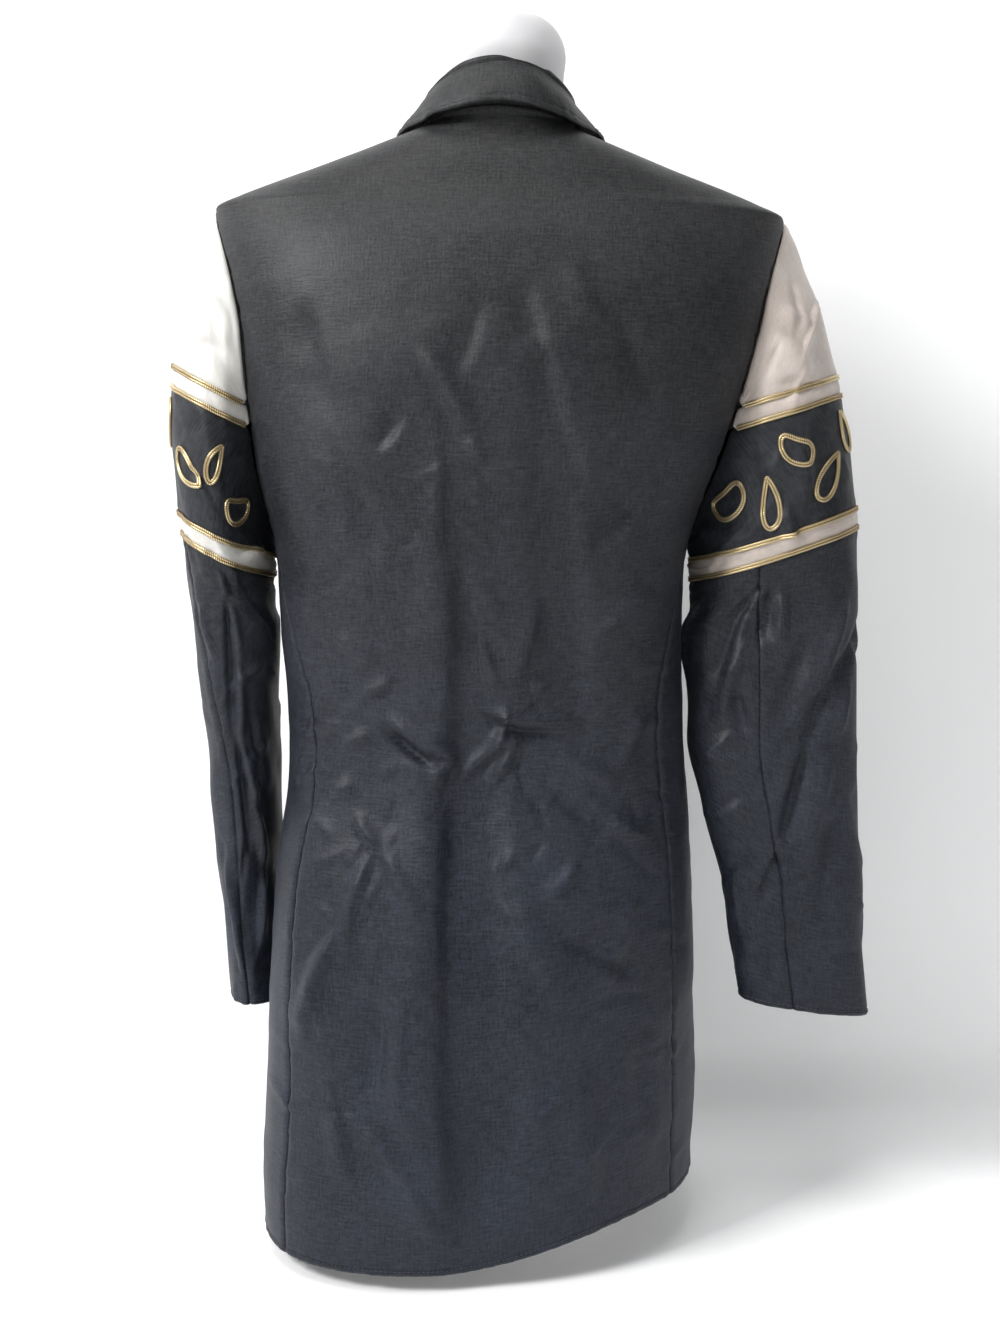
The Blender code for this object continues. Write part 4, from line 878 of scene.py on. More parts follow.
class Graph:
    """One material: its nodes are made through node(), which sets options and joins sockets."""

    def __init__(self, name):
        self.material = bpy.data.materials.new(name)
        self.material.use_nodes = True
        self.tree = self.material.node_tree
        self.shader = self.tree.nodes["Principled BSDF"]

    def join(self, socket, value):
        """Links a wire to a socket, or sets its value."""
        if isinstance(value, Wire):
            self.tree.links.new(value.socket, socket)
        else:
            socket.default_value = value

    def node(self, kind, settings, sockets, output=0):
        """A node of this type, its options set first, then its sockets; the wire is its output."""
        made = self.tree.nodes.new(kind)
        for key, value in settings.items():
            setattr(made, key, value)
        for key, value in sockets.items():
            self.join(made.inputs[key], value)
        return Wire(self, made.outputs[output])

    def math(self, operation, first, second):
        """A Math node on two values."""
        return self.node("ShaderNodeMath", {"operation": operation}, {0: first, 1: second})

    def scaled(self, vector, factors):
        """A place stretched by a factor for each axis."""
        return self.node("ShaderNodeVectorMath", {"operation": "MULTIPLY"}, {0: vector, 1: factors})

    def noise(self, vector, scale, detail=2.0, roughness=0.5):
        """Soft noise from 0 to 1."""
        sockets = {"Vector": vector, "Scale": scale, "Detail": detail, "Roughness": roughness}
        return self.node("ShaderNodeTexNoise", {}, sockets)

    def ramp(self, value, low, high, to_low=0.0, to_high=1.0):
        """A straight change between two values, level outside them."""
        sockets = {"Value": value, "From Min": low, "From Max": high, "To Min": to_low, "To Max": to_high}
        return self.node("ShaderNodeMapRange", {"clamp": True}, sockets)

    def mix(self, share, first, second):
        """Two colours mixed by a share."""
        made = self.tree.nodes.new("ShaderNodeMix")
        made.data_type = "RGBA"
        self.join(made.inputs[0], share)
        self.join(made.inputs[6], first)
        self.join(made.inputs[7], second)
        return Wire(self, made.outputs[2])

    def bump(self, height, strength, distance):
        """A normal from a height."""
        return self.node("ShaderNodeBump", {}, {"Height": height, "Strength": strength, "Distance": distance})

    def finish(self, **sockets):
        """Sets the surface's sockets and gives back the material."""
        for key, value in sockets.items():
            self.join(self.shader.inputs[key.replace("_", " ")], value)
        return self.material

    def cloth_place(self):
        """The place on the flat cloth, in metres."""
        return self.node("ShaderNodeUVMap", {"uv_map": "cloth"}, {})

    def object_place(self):
        """The place in space, in metres."""
        return self.node("ShaderNodeTexCoord", {}, {}, "Object")


def linen_material():
    """Plain-woven black linen: upright and level threads with thicker slubs, a warmer black at the
    shoulders than at the hem, and soft rubbed patches."""
    g = Graph("black_linen")
    place = g.cloth_place()
    warp = g.noise(g.scaled(place, (620.0, 95.0, 1.0)), 1.0, 2.0)
    weft = g.noise(g.scaled(place, (95.0, 620.0, 1.0)), 1.0, 2.0)
    slub = g.noise(g.scaled(place, (60.0, 420.0, 1.0)), 1.0, 1.0)
    grain = g.noise(g.scaled(place, (520.0, 520.0, 1.0)), 1.0, 2.0)
    threads = warp * 0.30 + weft * 0.32 + g.ramp(slub, 0.55, 0.80) * 0.08 + grain * 0.30
    patches = g.noise(g.object_place(), 11.0, 4.0, 0.6)
    height = g.node("ShaderNodeSeparateXYZ", {}, {"Vector": g.object_place()}, "Z")
    warmth = g.ramp(height, 0.25, 0.80)
    dark = g.mix(warmth, LINEN["hem hollow"], LINEN["shoulder hollow"])
    light = g.mix(warmth, LINEN["hem thread"], LINEN["shoulder thread"])
    colour = g.mix(g.ramp(threads + patches * 0.34, 0.52, 0.82), dark, light)
    normal = g.bump(threads, 0.80, 0.0007)
    rough = g.ramp(patches, 0.35, 0.65, 0.50, 0.62)
    return g.finish(
        Base_Color=colour, Roughness=rough, Normal=normal, Specular_IOR_Level=0.32, Sheen_Weight=0.02,
    )


def cotton_material():
    """White satin-faced cotton: ivory on the left sleeve; on the right one darker and browner, which is
    painted shade.
    """
    g = Graph("white_cotton")
    place = g.cloth_place()
    warp = g.noise(g.scaled(place, (1100.0, 90.0, 1.0)), 1.0, 2.0)
    weft = g.noise(g.scaled(place, (90.0, 1100.0, 1.0)), 1.0, 2.0)
    threads = warp * 0.5 + weft * 0.5
    patches = g.noise(g.object_place(), 22.0, 3.0)
    # Towards negative x, the right sleeve, the colour goes over to the painted shade
    side = g.node("ShaderNodeSeparateXYZ", {}, {"Vector": g.object_place()}, "X")
    share = g.ramp(side, -0.05, 0.05)
    base = g.mix(share, COTTON_AND_PAINTED_SHADE["right"], COTTON_AND_PAINTED_SHADE["left"])
    shade = g.mix(share, COTTON_AND_PAINTED_SHADE["right shade"], COTTON_AND_PAINTED_SHADE["left shade"])
    colour = g.mix(g.ramp(threads * 0.5 + patches * 0.5, 0.35, 0.70), shade, base)
    normal = g.bump(threads, 0.25, 0.0004)
    return g.finish(Base_Color=colour, Roughness=0.46, Normal=normal, Sheen_Weight=0.15)


def gold_material():
    """Twisted metallic thread: painted shade in brown hollows and the gold's own colour on the crests, with
    painted glints, all following the twist.
    """
    g = Graph("gold_cord")
    place = g.cloth_place()
    plies = g.node("ShaderNodeSeparateXYZ", {}, {"Vector": place}, "X")
    ply = g.math("SINE", plies * (2 * np.pi), 0.0)
    # Noise that gives the cord painted glints in its colour, and also its bump
    painted_glints_and_bump = g.noise(g.scaled(place, (3.0, 900.0, 1.0)), 1.0, 2.0)
    # Dark where the plies meet and bright on their crests: painted shade and painted glints
    share = g.ramp(ply * 0.5 + painted_glints_and_bump, 0.15, 1.05)
    colour = g.mix(share, GOLD_AND_PAINTED_SHADE["hollow"], GOLD_AND_PAINTED_SHADE["crest"])
    normal = g.bump(ply * 0.3 + painted_glints_and_bump * 0.7, 0.30, 0.0003)
    return g.finish(Base_Color=colour, Roughness=0.34, Metallic=0.80, Normal=normal)


def thread_material():
    """Black sewing thread, a little brighter than the linen."""
    g = Graph("black_thread")
    grain = g.noise(g.object_place(), 1400.0, 1.0)
    colour = g.mix(grain, THREAD["dark"], THREAD["light"])
    return g.finish(Base_Color=colour, Roughness=0.45)


def form_material():
    """The dress form's matt off-white shell, faintly stippled."""
    g = Graph("form_shell")
    place = g.object_place()
    stipple = g.noise(place, 900.0, 2.0)
    cloudy = g.noise(place, 14.0, 3.0)
    colour = g.mix(g.ramp(cloudy, 0.35, 0.65), SHELL["dull"], SHELL["bright"])
    normal = g.bump(stipple, 0.15, 0.0004)
    return g.finish(Base_Color=colour, Roughness=0.50, Normal=normal)


def button_material():
    """Polished black buttons with faint brown swirls."""
    g = Graph("black_button")
    swirl = g.noise(g.object_place(), 160.0, 3.0)
    colour = g.mix(g.ramp(swirl, 0.45, 0.75), BUTTON["black"], BUTTON["brown"])
    return g.finish(Base_Color=colour, Roughness=0.24)


def stage_material():
    """A pale sweep that is seen from its front alone, so that the jacket's front can be seen past it."""
    g = Graph("pale_backdrop")
    cloudy = g.noise(g.object_place(), 0.8, 1.0)
    colour = g.mix(cloudy, SWEEP["dull"], SWEEP["bright"])
    backface = g.node("ShaderNodeNewGeometry", {}, {}, "Backfacing")
    clear = g.node("ShaderNodeBsdfTransparent", {}, {})
    seen = g.node("ShaderNodeMixShader", {}, {0: backface, 1: Wire(g, g.shader.outputs[0]), 2: clear})
    g.join(g.tree.nodes["Material Output"].inputs["Surface"], seen)
    return g.finish(
        Base_Color=colour, Roughness=0.80, Emission_Color=WHITE, Emission_Strength=0.10,
    )


def slope(points, axis, closed=False):
    """How the points go on along an axis, round the join of a closed one."""
    if closed:
        return np.roll(points, -1, axis=axis) - np.roll(points, 1, axis=axis)
    return np.gradient(points, axis=axis)


def grid_normals(grid, closed=False):
    """Unit normals of a grid of points: the cross product of its rows' and columns' slopes."""
    return unit(np.cross(slope(grid, 0), slope(grid, 1, closed)))


def facing_out(grid, reference, closed):
    """The grid's normals, all turned the way that the reference points."""
    outward = grid_normals(grid, closed)
    return outward * np.sign(np.sum(outward * reference))


def cell_areas(grid):
    """Each cell's area as a vector: half the cross product of its diagonals."""
    return np.cross(grid[1:, 1:] - grid[:-1, :-1], grid[1:, :-1] - grid[:-1, 1:]) / 2


def travelled(grid, axis):
    """How far each point lies along its row or column, measured on the cloth."""
    steps = np.linalg.norm(np.diff(grid, axis=axis), axis=-1)
    first = np.zeros_like(steps.take([0], axis=axis))
    return np.concatenate([first, np.cumsum(steps, axis=axis)], axis=axis)


def edge_places(grid, closed):
    """The distance from each edge of the panel: start and end rows, left and right columns."""
    down, over = travelled(grid, 0), travelled(grid, 1)
    places = {"start": down, "end": down[-1:] - down}
    if not closed:
        places.update({"left": over, "right": over[:, -1:] - over})
    return places


def edge_rise(kind, place, along):
    """What an edge does to the face. Every edge rolls in. A seam has a low ridge of folded cloth
    beside it with small puckers; a stitched edge has a shallow groove under its stitches."""
    face = bell(place, *EDGE_ROLL) + rumple(kind, along, place * 0.2) * bell(place, 0.0, PUCKER_REACH[kind])
    if kind == "seam":
        return face + bell(place, *SEAM_RIDGE)
    return face + bell(place, *STITCH_GROOVE) + bell(place, *STITCH_SWELL)


def add_mesh(name, points, faces, uv, material):
    """An object of these points and faces, with each corner's place on the flat cloth."""
    mesh = bpy.data.meshes.new(name)
    mesh.from_pydata(points, [], faces.tolist())
    mesh.uv_layers.new(name="cloth").data.foreach_set("uv", uv.astype(np.float32).ravel())
    mesh.polygons.foreach_set("use_smooth", [True] * len(mesh.polygons))
    mesh.materials.append(material)
    made = bpy.data.objects.new(name, mesh)
    bpy.context.scene.collection.objects.link(made)
    return made


def rim_quads(rows, wide, closed):
    """The quads that join two stacked grids along each open edge, as layers and places: up from one
    layer to the next between each two neighbours, turned so that they face outwards."""
    quads = []
    across, down = np.arange(wide), np.arange(rows)
    edges = [(0 * across, across, True), (0 * across + rows - 1, across, False)]
    if not closed:
        edges += [(down, 0 * down, False), (down, 0 * down + wide - 1, True)]
    for row, column, flip in edges:
        line = np.stack([row, column], axis=1)
        quad = np.stack([line[:-1], line[1:], line[1:], line[:-1]], axis=1)
        layer = np.tile([0, 0, 1, 1], (len(quad), 1))
        quads.append((layer[:, ::-1], quad[:, ::-1]) if flip else (layer, quad))
    return quads


def grid_mesh(name, layers, uv, material, closed):
    """Quads of one or two stacked grids, joined along every open edge when there are two. The
    map gives each corner its place on the flat cloth, in metres."""
    rows, columns = layers[0].shape[:2]
    wide = columns + 1 if closed else columns
    i, j = np.meshgrid(np.arange(rows - 1), np.arange(wide - 1), indexing="ij")
    corners = np.stack([(i, j), (i, j + 1), (i + 1, j + 1), (i + 1, j)], axis=0)
    quads = corners.transpose(2, 3, 0, 1).reshape(-1, 4, 2)
    parts = [(np.zeros(quads.shape[:2], int), quads)]
    if len(layers) == 2:
        parts.append((np.ones(quads.shape[:2], int), quads[:, ::-1]))
        parts += rim_quads(rows, wide, closed)
    layer, place = (np.concatenate(column) for column in zip(*parts))
    index = layer * rows * columns + place[..., 0] * columns + place[..., 1] % columns
    if closed:
        uv = np.concatenate([uv, 2 * uv[:, -1:] - uv[:, -2:-1]], axis=1)
    flat = uv[place[..., 0], place[..., 1]]
    return add_mesh(name, np.concatenate([g.reshape(-1, 3) for g in layers]), index, flat, material)


def inset_line(grid, outward, edge, inset=HEM_STITCH):
    """The line this far in from one edge of a panel, and the way out at each of its points."""
    if edge == "right":
        grid, outward = grid.transpose(1, 0, 2), outward.transpose(1, 0, 2)
    if edge in ("end", "right"):
        grid, outward = grid[::-1], outward[::-1]
    down = travelled(grid, 0)
    j = np.arange(grid.shape[1])
    k = np.clip((down < inset).sum(axis=0), 1, len(grid) - 1)
    t = (inset - down[k - 1, j]) / np.maximum(down[k, j] - down[k - 1, j], 1e-9)
    return grid[k - 1, j] * (1 - t)[:, None] + grid[k, j] * t[:, None], outward[k, j]


def evened(path, outward, step, closed=False):
    """The same path with points this far apart."""
    if closed:
        path, outward = np.vstack([path, path[:1]]), np.vstack([outward, outward[:1]])
    length = travelled(path, 0)
    at = np.linspace(0.0, length[-1], max(int(length[-1] / step), 4), endpoint=not closed)
    path, outward = (
        np.stack([np.interp(at, length, column) for column in values.T], axis=1)
        for values in (path, outward)
    )
    return path, unit(outward), at


def beside(path, outward, closed=False):
    """Unit vectors across a path, level with the cloth that it lies on."""
    return unit(np.cross(slope(path, 0, closed), outward))


def tube_rows(path, outward, radii, closed=False):
    """A ring of points round each point of a path; the radii are one row for each ring."""
    turn = np.arange(radii.shape[1]) * 2 * np.pi / radii.shape[1]
    across = beside(path, outward, closed)[:, None]
    ways = np.cos(turn)[:, None] * outward[:, None] + np.sin(turn)[:, None] * across
    return path[:, None] + ways * radii[..., None]


def join_tubes(name, tubes, material):
    """One mesh of many tubes. Each is (rows of rings, map along, whether it closes on itself), and
    its map turns with the twist of a strand."""
    points, faces, maps, base = [], [], [], 0
    for rings, at, closed in tubes:
        rows, sides = rings.shape[:2]
        i, j = np.meshgrid(np.arange(rows if closed else rows - 1), np.arange(sides), indexing="ij")
        i, j = i.ravel(), j.ravel()
        row, following = i * sides, (i + 1) % rows * sides
        beyond = (j + 1) % sides
        faces.append(np.stack([row + j, row + beyond, following + beyond, following + j], 1) + base)
        ahead = np.append(at[1:], 2 * at[-1] - at[-2])
        u = np.stack([j, j + 1, j + 1, j], axis=1) / sides
        v = np.stack([at[i], at[i], ahead[i], ahead[i]], axis=1)
        maps.append(np.stack([2.0 * (u - v / STRAND_PITCH), v], axis=-1))
        points.append(rings.reshape(-1, 3))
        base += rows * sides
    joined = (np.concatenate(arrays) for arrays in (points, faces, maps))
    return add_mesh(name, *joined, material)


def strand(path, outward, offset, closed):
    """One twisted strand: two plies whose bulges turn round it along the path."""
    path = path + beside(path, outward, closed) * offset
    path, outward, at = evened(path, outward, STRAND_STEP, closed)
    turn = np.arange(STRAND_SIDES) * 2 * np.pi / STRAND_SIDES
    turns = max(1.0, np.round(at[-1] / STRAND_PITCH)) / at[-1]
    lobes = 1.0 + 0.20 * np.cos(2 * (turn[None, :] - 2 * np.pi * at[:, None] * turns))
    return tube_rows(path, outward, STRAND_RADIUS * lobes, closed), at, closed


def stitches(name, lines, material):
    """Rows of short thread stitches that lie on the cloth: thin and sunk in at both ends."""
    tubes = []
    pitch = STITCH_LENGTH + STITCH_GAP
    squeeze = STITCH_LENGTH / pitch / 0.8
    radii = np.repeat(np.array([[0.25], [0.85], [1.0], [0.85], [0.25]]) * STITCH_RADIUS, 5, axis=1)
    height = 0.00012 + 0.00014 * np.array([[-1.2], [0.6], [1.0], [0.6], [-1.2]])
    for line, outward in lines:
        line, outward, at = evened(line, outward, pitch / STITCH_POINTS)
        for start in range(0, len(line) - STITCH_POINTS, STITCH_POINTS):
            part = slice(start, start + STITCH_POINTS)
            middle = line[part].mean(axis=0)
            path = middle + (line[part] - middle) * squeeze + outward[part] * height
            tubes.append((tube_rows(path, outward[part], radii), at[part], False))
    trim(join_tubes(name, tubes, material))


def trim(piece, solid=None):
    """The piece rides on the part's one body and stands in for its solid, which is hidden."""
    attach(piece, "root")
    if solid:
        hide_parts(solid)
    return piece


def cloth(name, grid, reference, material, edges, closed=False, held="draped", slot="black_linen"):
    """A panel of cloth on its solid: the grid with its edges worked, and a layer underneath. Its
    flat cut is its widest row by its middle column, or by its longest one where it closes."""
    places = edge_places(grid, closed)
    over, down = travelled(grid, 1), travelled(grid, 0)
    rise = sum(
        edge_rise(kind, places[edge], over if edge in ("start", "end") else down)
        for edge, kind in edges.items()
    )
    grid = grid + facing_out(grid, reference, closed) * rise[..., None]
    outward = facing_out(grid, reference, closed)
    middle = slice(over.shape[1] // 2, over.shape[1] // 2 + 1)
    uv = np.stack([over - over[:, middle], np.broadcast_to(down[:, middle], over.shape)], -1)
    layers = [grid, grid - outward * CLOTH]
    if np.sum(cell_areas(grid) * outward[1:, 1:]) < 0:
        layers, uv = [layer[::-1] for layer in layers], uv[::-1]
    piece = trim(grid_mesh(f"{name}_cloth", layers, uv, material, closed), name)
    whole = np.concatenate([grid, grid[:, :1]], axis=1) if closed else grid
    lengths = travelled(whole, 0)[-1]
    wide = travelled(whole, 1)[:, -1].max()
    long = lengths.max() if closed else lengths[middle][0]
    area = np.linalg.norm(cell_areas(whole), axis=-1).sum()
    min(area, wide * long)
    print(f"sheet {name}_cloth: {wide:.3f} x {long:.3f} m, {area:.4f} m2")
    return grid, outward


def spread(length, step=GRID_STEP):
    """Places from 0 to 1 along a length: fine near both ends and even between them."""
    inner = np.linspace(EDGE_STEPS[-1], length - EDGE_STEPS[-1], max(3, int(length / step)))
    return np.concatenate([EDGE_STEPS, inner[1:-1], length - EDGE_STEPS[::-1]]) / length


def seam_lap(angle, height):
    """How far a panel's edge passes its seam, as an angle of the ring, so that no light shows
    through."""
    flat = ring(angle, height)[..., :2]
    return SEAM_LAP / np.maximum(np.linalg.norm(flat, axis=-1), 0.03)


def make_back(linen):
    """The back: rows up to the shoulder seams, whose ends follow the princess seam, the armhole and
    the shoulder, and whose top rises and flares under the collar's fall."""
    low = spread(PRINCESS_TOP)[:-len(EDGE_STEPS)] * PRINCESS_TOP
    thetas = np.linspace(theta_at(PRINCESS_TOP), 0.0, 72)
    top = np.linspace(TIP_HEIGHT, NECK_SIDE_HEIGHT, 52)[1:]
    height = np.concatenate([low, armhole(thetas)[1], top])
    edge = np.concatenate([princess(low), armhole(thetas)[0], np.full(len(top), RIGHT_ANGLE)])
    edge = edge + seam_lap(edge, height)
    share = spread(0.43)[None, :] * 2.0 - 1.0
    angle = edge[:, None] * share
    height = np.repeat(height[:, None], share.shape[1], axis=1)
    nape = np.cos(angle) ** 2
    height = height + NECK_UNDER_FALL * nape * smooth_step(height, 0.81, NECK_SIDE_HEIGHT)
    height = at_hem(angle, height)
    outward = body_out(angle, np.minimum(height, NECK_SIDE_HEIGHT - 0.002))
    flare = NECK_FLARE * nape * smooth_step(height, 0.846, 0.862)
    surface = body(angle, height) + outward * [1.0, 1.0, 0.0] * flare[..., None]
    edges = {"start": "stitched", "left": "seam", "right": "seam"}
    return [inset_line(*cloth("back", surface, outward, linen, edges), "start")]


def make_side_back(side, linen):
    """A side back: from the princess seam to the side seam, with columns that end on the armhole."""
    theta = np.linspace(theta_at(PRINCESS_TOP), np.pi, 34)
    top_angle, top_height = armhole(theta)
    start = princess(top_height)
    reach = (top_angle - start) / (SIDE_SEAM - start)
    across = np.interp(spread(0.075, 0.0034), np.linspace(0, 1, len(reach)), reach)[None, :]
    height = spread(UNDERARM_HEIGHT)[:, None] * np.interp(across, reach, top_height)
    left = princess(height)
    left = left - seam_lap(left, height)
    right = SIDE_SEAM + seam_lap(SIDE_SEAM, height)
    angle = (left + (right - left) * across) * SIGN[side]
    height = at_hem(angle, height)
    edges = {"start": "stitched", "left": "seam", "right": "seam", "end": "seam"}
    surface, outward = body(angle, height), body_out(angle, height)
    return [inset_line(*cloth(f"side_back_{side}", surface, outward, linen, edges), "start")]


def make_front(side, linen):
    """A front: rows from the side seam, the armhole or the shoulder to the front edge or roll line.
    The right one passes over the left."""
    low = spread(UNDERARM_HEIGHT)[:-len(EDGE_STEPS)] * UNDERARM_HEIGHT
    thetas = np.linspace(np.pi, 0.0, 96)
    top = np.linspace(TIP_HEIGHT, NECK_SIDE_HEIGHT - FRONT_NECK_DROP, 48)[1:]
    height = np.concatenate([low, armhole(thetas)[1], top])
    outer = np.concatenate(
        [np.full(len(low), SIDE_SEAM), armhole(-thetas)[0], np.full(len(top), RIGHT_ANGLE)]
    )
    outer = outer - seam_lap(outer, height)
    edge = angle_of(roll_line(height), height)
    share = spread(0.23)[None, :]
    angle = (outer[:, None] + (edge - outer)[:, None] * share) * SIGN[side]
    height = np.repeat(height[:, None], share.shape[1], axis=1)
    lift = front_lift(side, angle, height)
    height = at_hem(angle, height)
    outward = body_out(angle, height)
    surface = body(angle, height) + outward * lift[..., None]
    edges = {"start": "stitched", "left": "seam", "right": "stitched"}
    grid, out = cloth(f"front_{side}", surface, outward, linen, edges)
    below = height[:, -1] < BREAK_HEIGHT
    edge_line, edge_out = inset_line(grid, out, "right")
    return [inset_line(grid, out, "start"), (edge_line[below], edge_out[below])]


def make_lapel(side, linen):
    """A lapel: from the roll line out to its own edge, moved out from the front's points, with a
    slanting top at the notch. The left one starts where the right front's roll line leaves it free."""
    foot, head = BREAK_HEIGHT + LAPEL_FOOT[side], GORGE_HEIGHT - LAPEL_HEAD_DROP
    height = foot + (head - foot) * spread(head - foot)[:, None]
    share = spread(0.078, 0.0030)[None, :]
    inner = roll_line(height)
    outer = inner + lapel_width(height)
    if side == "l":
        inner = np.abs(inner)
    across = inner + 0.0015 + (outer - inner) * share
    height = height - LAPEL_SLANT * share * smooth_step(height, 0.72, GORGE_HEIGHT)
    angle = angle_of(across, height) * SIGN[side]
    roll = 0.0016 * bell(share, 0.0, 0.10)
    lift = CLOTH + LAY_GAP + front_lift(side, angle, height) + roll
    outward = body_out(angle, height)
    surface = body(angle, height) + outward * lift[..., None]
    edges = {"start": "stitched", "left": "seam", "right": "stitched", "end": "stitched"}
    grid, out = cloth(f"lapel_{side}", surface, outward, linen, edges)
    return [inset_line(grid, out, "right"), inset_line(grid, out, "end")]


def make_collar(linen):
    """The collar: the grid of its stand and fall, a little rumpled on the fall."""
    along, across = 170, 46
    grid = collar_grid(along, across)
    u, v = np.linspace(0.0, 0.45, along)[:, None], np.linspace(0.0, 0.08, across)[None, :]
    outward = grid_normals(grid)
    if outward[along // 2, across - 4, 1] < 0:
        outward = -outward
    fall = smooth_step(v, 0.034, 0.055)
    waves = rumple("collar", u, v) * (0.3 + fall)
    grid = settle(grid + outward * waves[..., None])
    edges = {"right": "stitched", "start": "stitched", "end": "stitched"}
    return [inset_line(*cloth("collar", grid, outward, linen, edges), "right")]


def make_sleeve(side, linen, cotton):
    """The white head and stripes, the black band between them and the two black lower panels."""
    line_1, line_2, line_3, line_4 = LINE_HEIGHTS

    def panel(name, theta, run, material, edges, **choices):
        """One panel of this sleeve on its surface."""
        surface, outward = sleeve(side, theta, run), sleeve_out(side, theta, run)
        return cloth(f"{name}_{side}", surface, outward, material, edges, **choices)

    head = ("sleeve_cap", None, line_1, spread(0.150, 0.0028), cotton, "white_cotton")
    stripe = ("stripe_upper", line_1, line_2, spread(0.0165, 0.0016), cotton, "white_cotton")
    band = ("band", line_2, line_3, spread(0.095, 0.0028), linen, "black_linen")
    ring_stripe = ("stripe_lower", line_3, line_4, spread(0.0165, 0.0016), cotton, "white_cotton")
    for name, upper, lower, rows, material, slot in (head, stripe, band, ring_stripe):
        closed = upper in (line_2, line_3)
        if closed:
            theta = np.arange(132)[None, :] * 2 * np.pi / 132
        else:
            front, back = (end_theta(side, lower, 0.03, way) for way in (-1, 1))
            theta = front + (back - front) * spread(0.20, 0.0028)[None, :]
        run = between_lines(side, theta, upper, lower, rows)
        edges = {"start": "seam", "end": "seam"}
        theta = theta + 0 * rows[:, None]
        panel(name, theta, run, material, edges, closed=closed, held="stretched", slot=slot)
    lines = []
    share = spread(0.37, 0.0030)[:, None]
    seam_top, seam_cuff = np.radians(BACK_SEAM[side])
    back_seam = seam_top + (seam_cuff - seam_top) * smooth_step(share, 0.0, 0.6)
    front_seam = np.full(share.shape, np.radians(FRONT_SEAM))
    lap = SEAM_LAP / SLEEVE_RADIUS
    for name, start, stop in (
        ("topsleeve", front_seam - 2 * np.pi - lap, back_seam + lap),
        ("undersleeve", back_seam - lap, front_seam + lap),
    ):
        theta = start + (stop - start) * spread(0.17, 0.0030)[None, :]
        begin = run_at_line(side, theta, line_4 + SEAM_LAP)
        run = begin + (2.0 - begin) * share
        edges = {"start": "seam", "end": "stitched", "left": "seam", "right": "seam"}
        lines.append(inset_line(*panel(name, theta, run, linen, edges, held="hung"), "end"))
    return lines


def lay_cord(name, side, theta, line_heights, closed, gold):
    """Two twisted strands side by side along a line of the sleeve, a little over its face."""
    run = run_at_line(side, theta, line_heights)
    outward = sleeve_out(side, theta, run)
    path = sleeve(side, theta, run) + outward * STRAND_RADIUS * 0.85
    tubes = [strand(path, outward, offset * STRAND_RADIUS, closed) for offset in (-1.0, 1.0)]
    trim(join_tubes(f"{name}_{side}_gold", tubes, gold), f"{name}_{side}")


def make_cords(side, gold):
    """A cord on each edge of the white stripes, and one round each loop, whose outline is turned and
    laid on the sleeve by its stretch round the sleeve there."""
    for number, height in enumerate(LINE_HEIGHTS, start=1):
        closed = number > 2
        if closed:
            theta = np.linspace(0.0, 2 * np.pi, 360, endpoint=False)
        else:
            front, back = (end_theta(side, height, 0.045, way) for way in (-1, 1))
            theta = np.linspace(front, back, 240)
        lay_cord(f"cord_{number}", side, theta, height, closed, gold)
    for number, (degrees, height, turn, length, kind) in enumerate(LOOPS[side], start=1):
        along, across = loop_outline(kind, length, 90)
        cosine, sine = np.cos(np.radians(turn)), np.sin(np.radians(turn))
        sideways, upwards = along * cosine - across * sine, along * sine + across * cosine
        centre = np.radians(degrees)
        run = run_at_line(side, np.array([centre]), height)
        ends = sleeve_plain(side, centre + 0.05, run) - sleeve_plain(side, centre - 0.05, run)
        stretch = np.linalg.norm(ends) / 0.1
        theta = centre + SIGN[side] * sideways / stretch
        lay_cord(f"loop_{number}", side, theta, height + upwards, True, gold)


def make_button(number, height, button, thread):
    """A turned button: a rounded rim, a dished face with four holes, and thread through them."""
    height = np.array(height)
    angle = -angle_of(BUTTON_ACROSS, height)
    outward = body_out(angle, height)
    seat = ring(angle, height) + outward * (CLOTH + LAY_GAP + 0.0012)
    level = unit(np.cross([0.0, 0.0, 1.0], outward))
    above = np.cross(outward, level)
    size = np.concatenate([np.linspace(0.02, 0.74, 22), np.linspace(0.77, 1.0, 10)])
    turn = np.linspace(0.0, 2 * np.pi, 72, endpoint=False)
    top = BUTTON_THICKNESS + 0.0010 * bell(size, 0.88, 0.09) - 0.0016 * smooth_step(size, 0.93, 1.0)
    x, y = size[:, None] * np.cos(turn) * BUTTON_RADIUS, size[:, None] * np.sin(turn) * BUTTON_RADIUS
    face = top[:, None] + 0 * x
    for spot in np.radians([45, 135, 225, 315]):
        away = np.hypot(x - BUTTON_HOLE_OUT * np.cos(spot), y - BUTTON_HOLE_OUT * np.sin(spot))
        face = face - BUTTON_HOLE_DEPTH * (1.0 - smooth_step(away, 0.0007, 0.0012))
    local = np.concatenate([np.stack([x, y, face], -1), np.stack([x[::-1], y[::-1], 0 * face], -1)])
    points = seat + local @ np.stack([level, above, outward])
    turned = grid_mesh(f"button_{number}_turned", [points[::-1]], local[::-1, :, :2], button, True)
    trim(turned, f"button_{number}")
    tubes = []
    t = np.linspace(-1.0, 1.0, 9)
    radii = np.full((9, 6), BUTTON_THREAD_RADIUS)
    for place in (-0.0021, -0.0015, 0.0015, 0.0021):
        path = seat + level * place + above * (t * 0.0019)[:, None]
        path = path + outward * (0.0027 + 0.0005 * (1.0 - t**4))[:, None]
        tubes.append((tube_rows(path, np.tile(outward, (9, 1)), radii), t * 0.002, False))
    trim(join_tubes(f"button_{number}_thread", tubes, thread))


def form_surface(angle, height):
    """The form under the jacket: the plain ring moved inwards by the room beneath the cloth."""
    room = np.interp(height, *FORM_ROOM.T)
    return settle(ring(angle, height) - body_out(angle, height) * room[..., None])


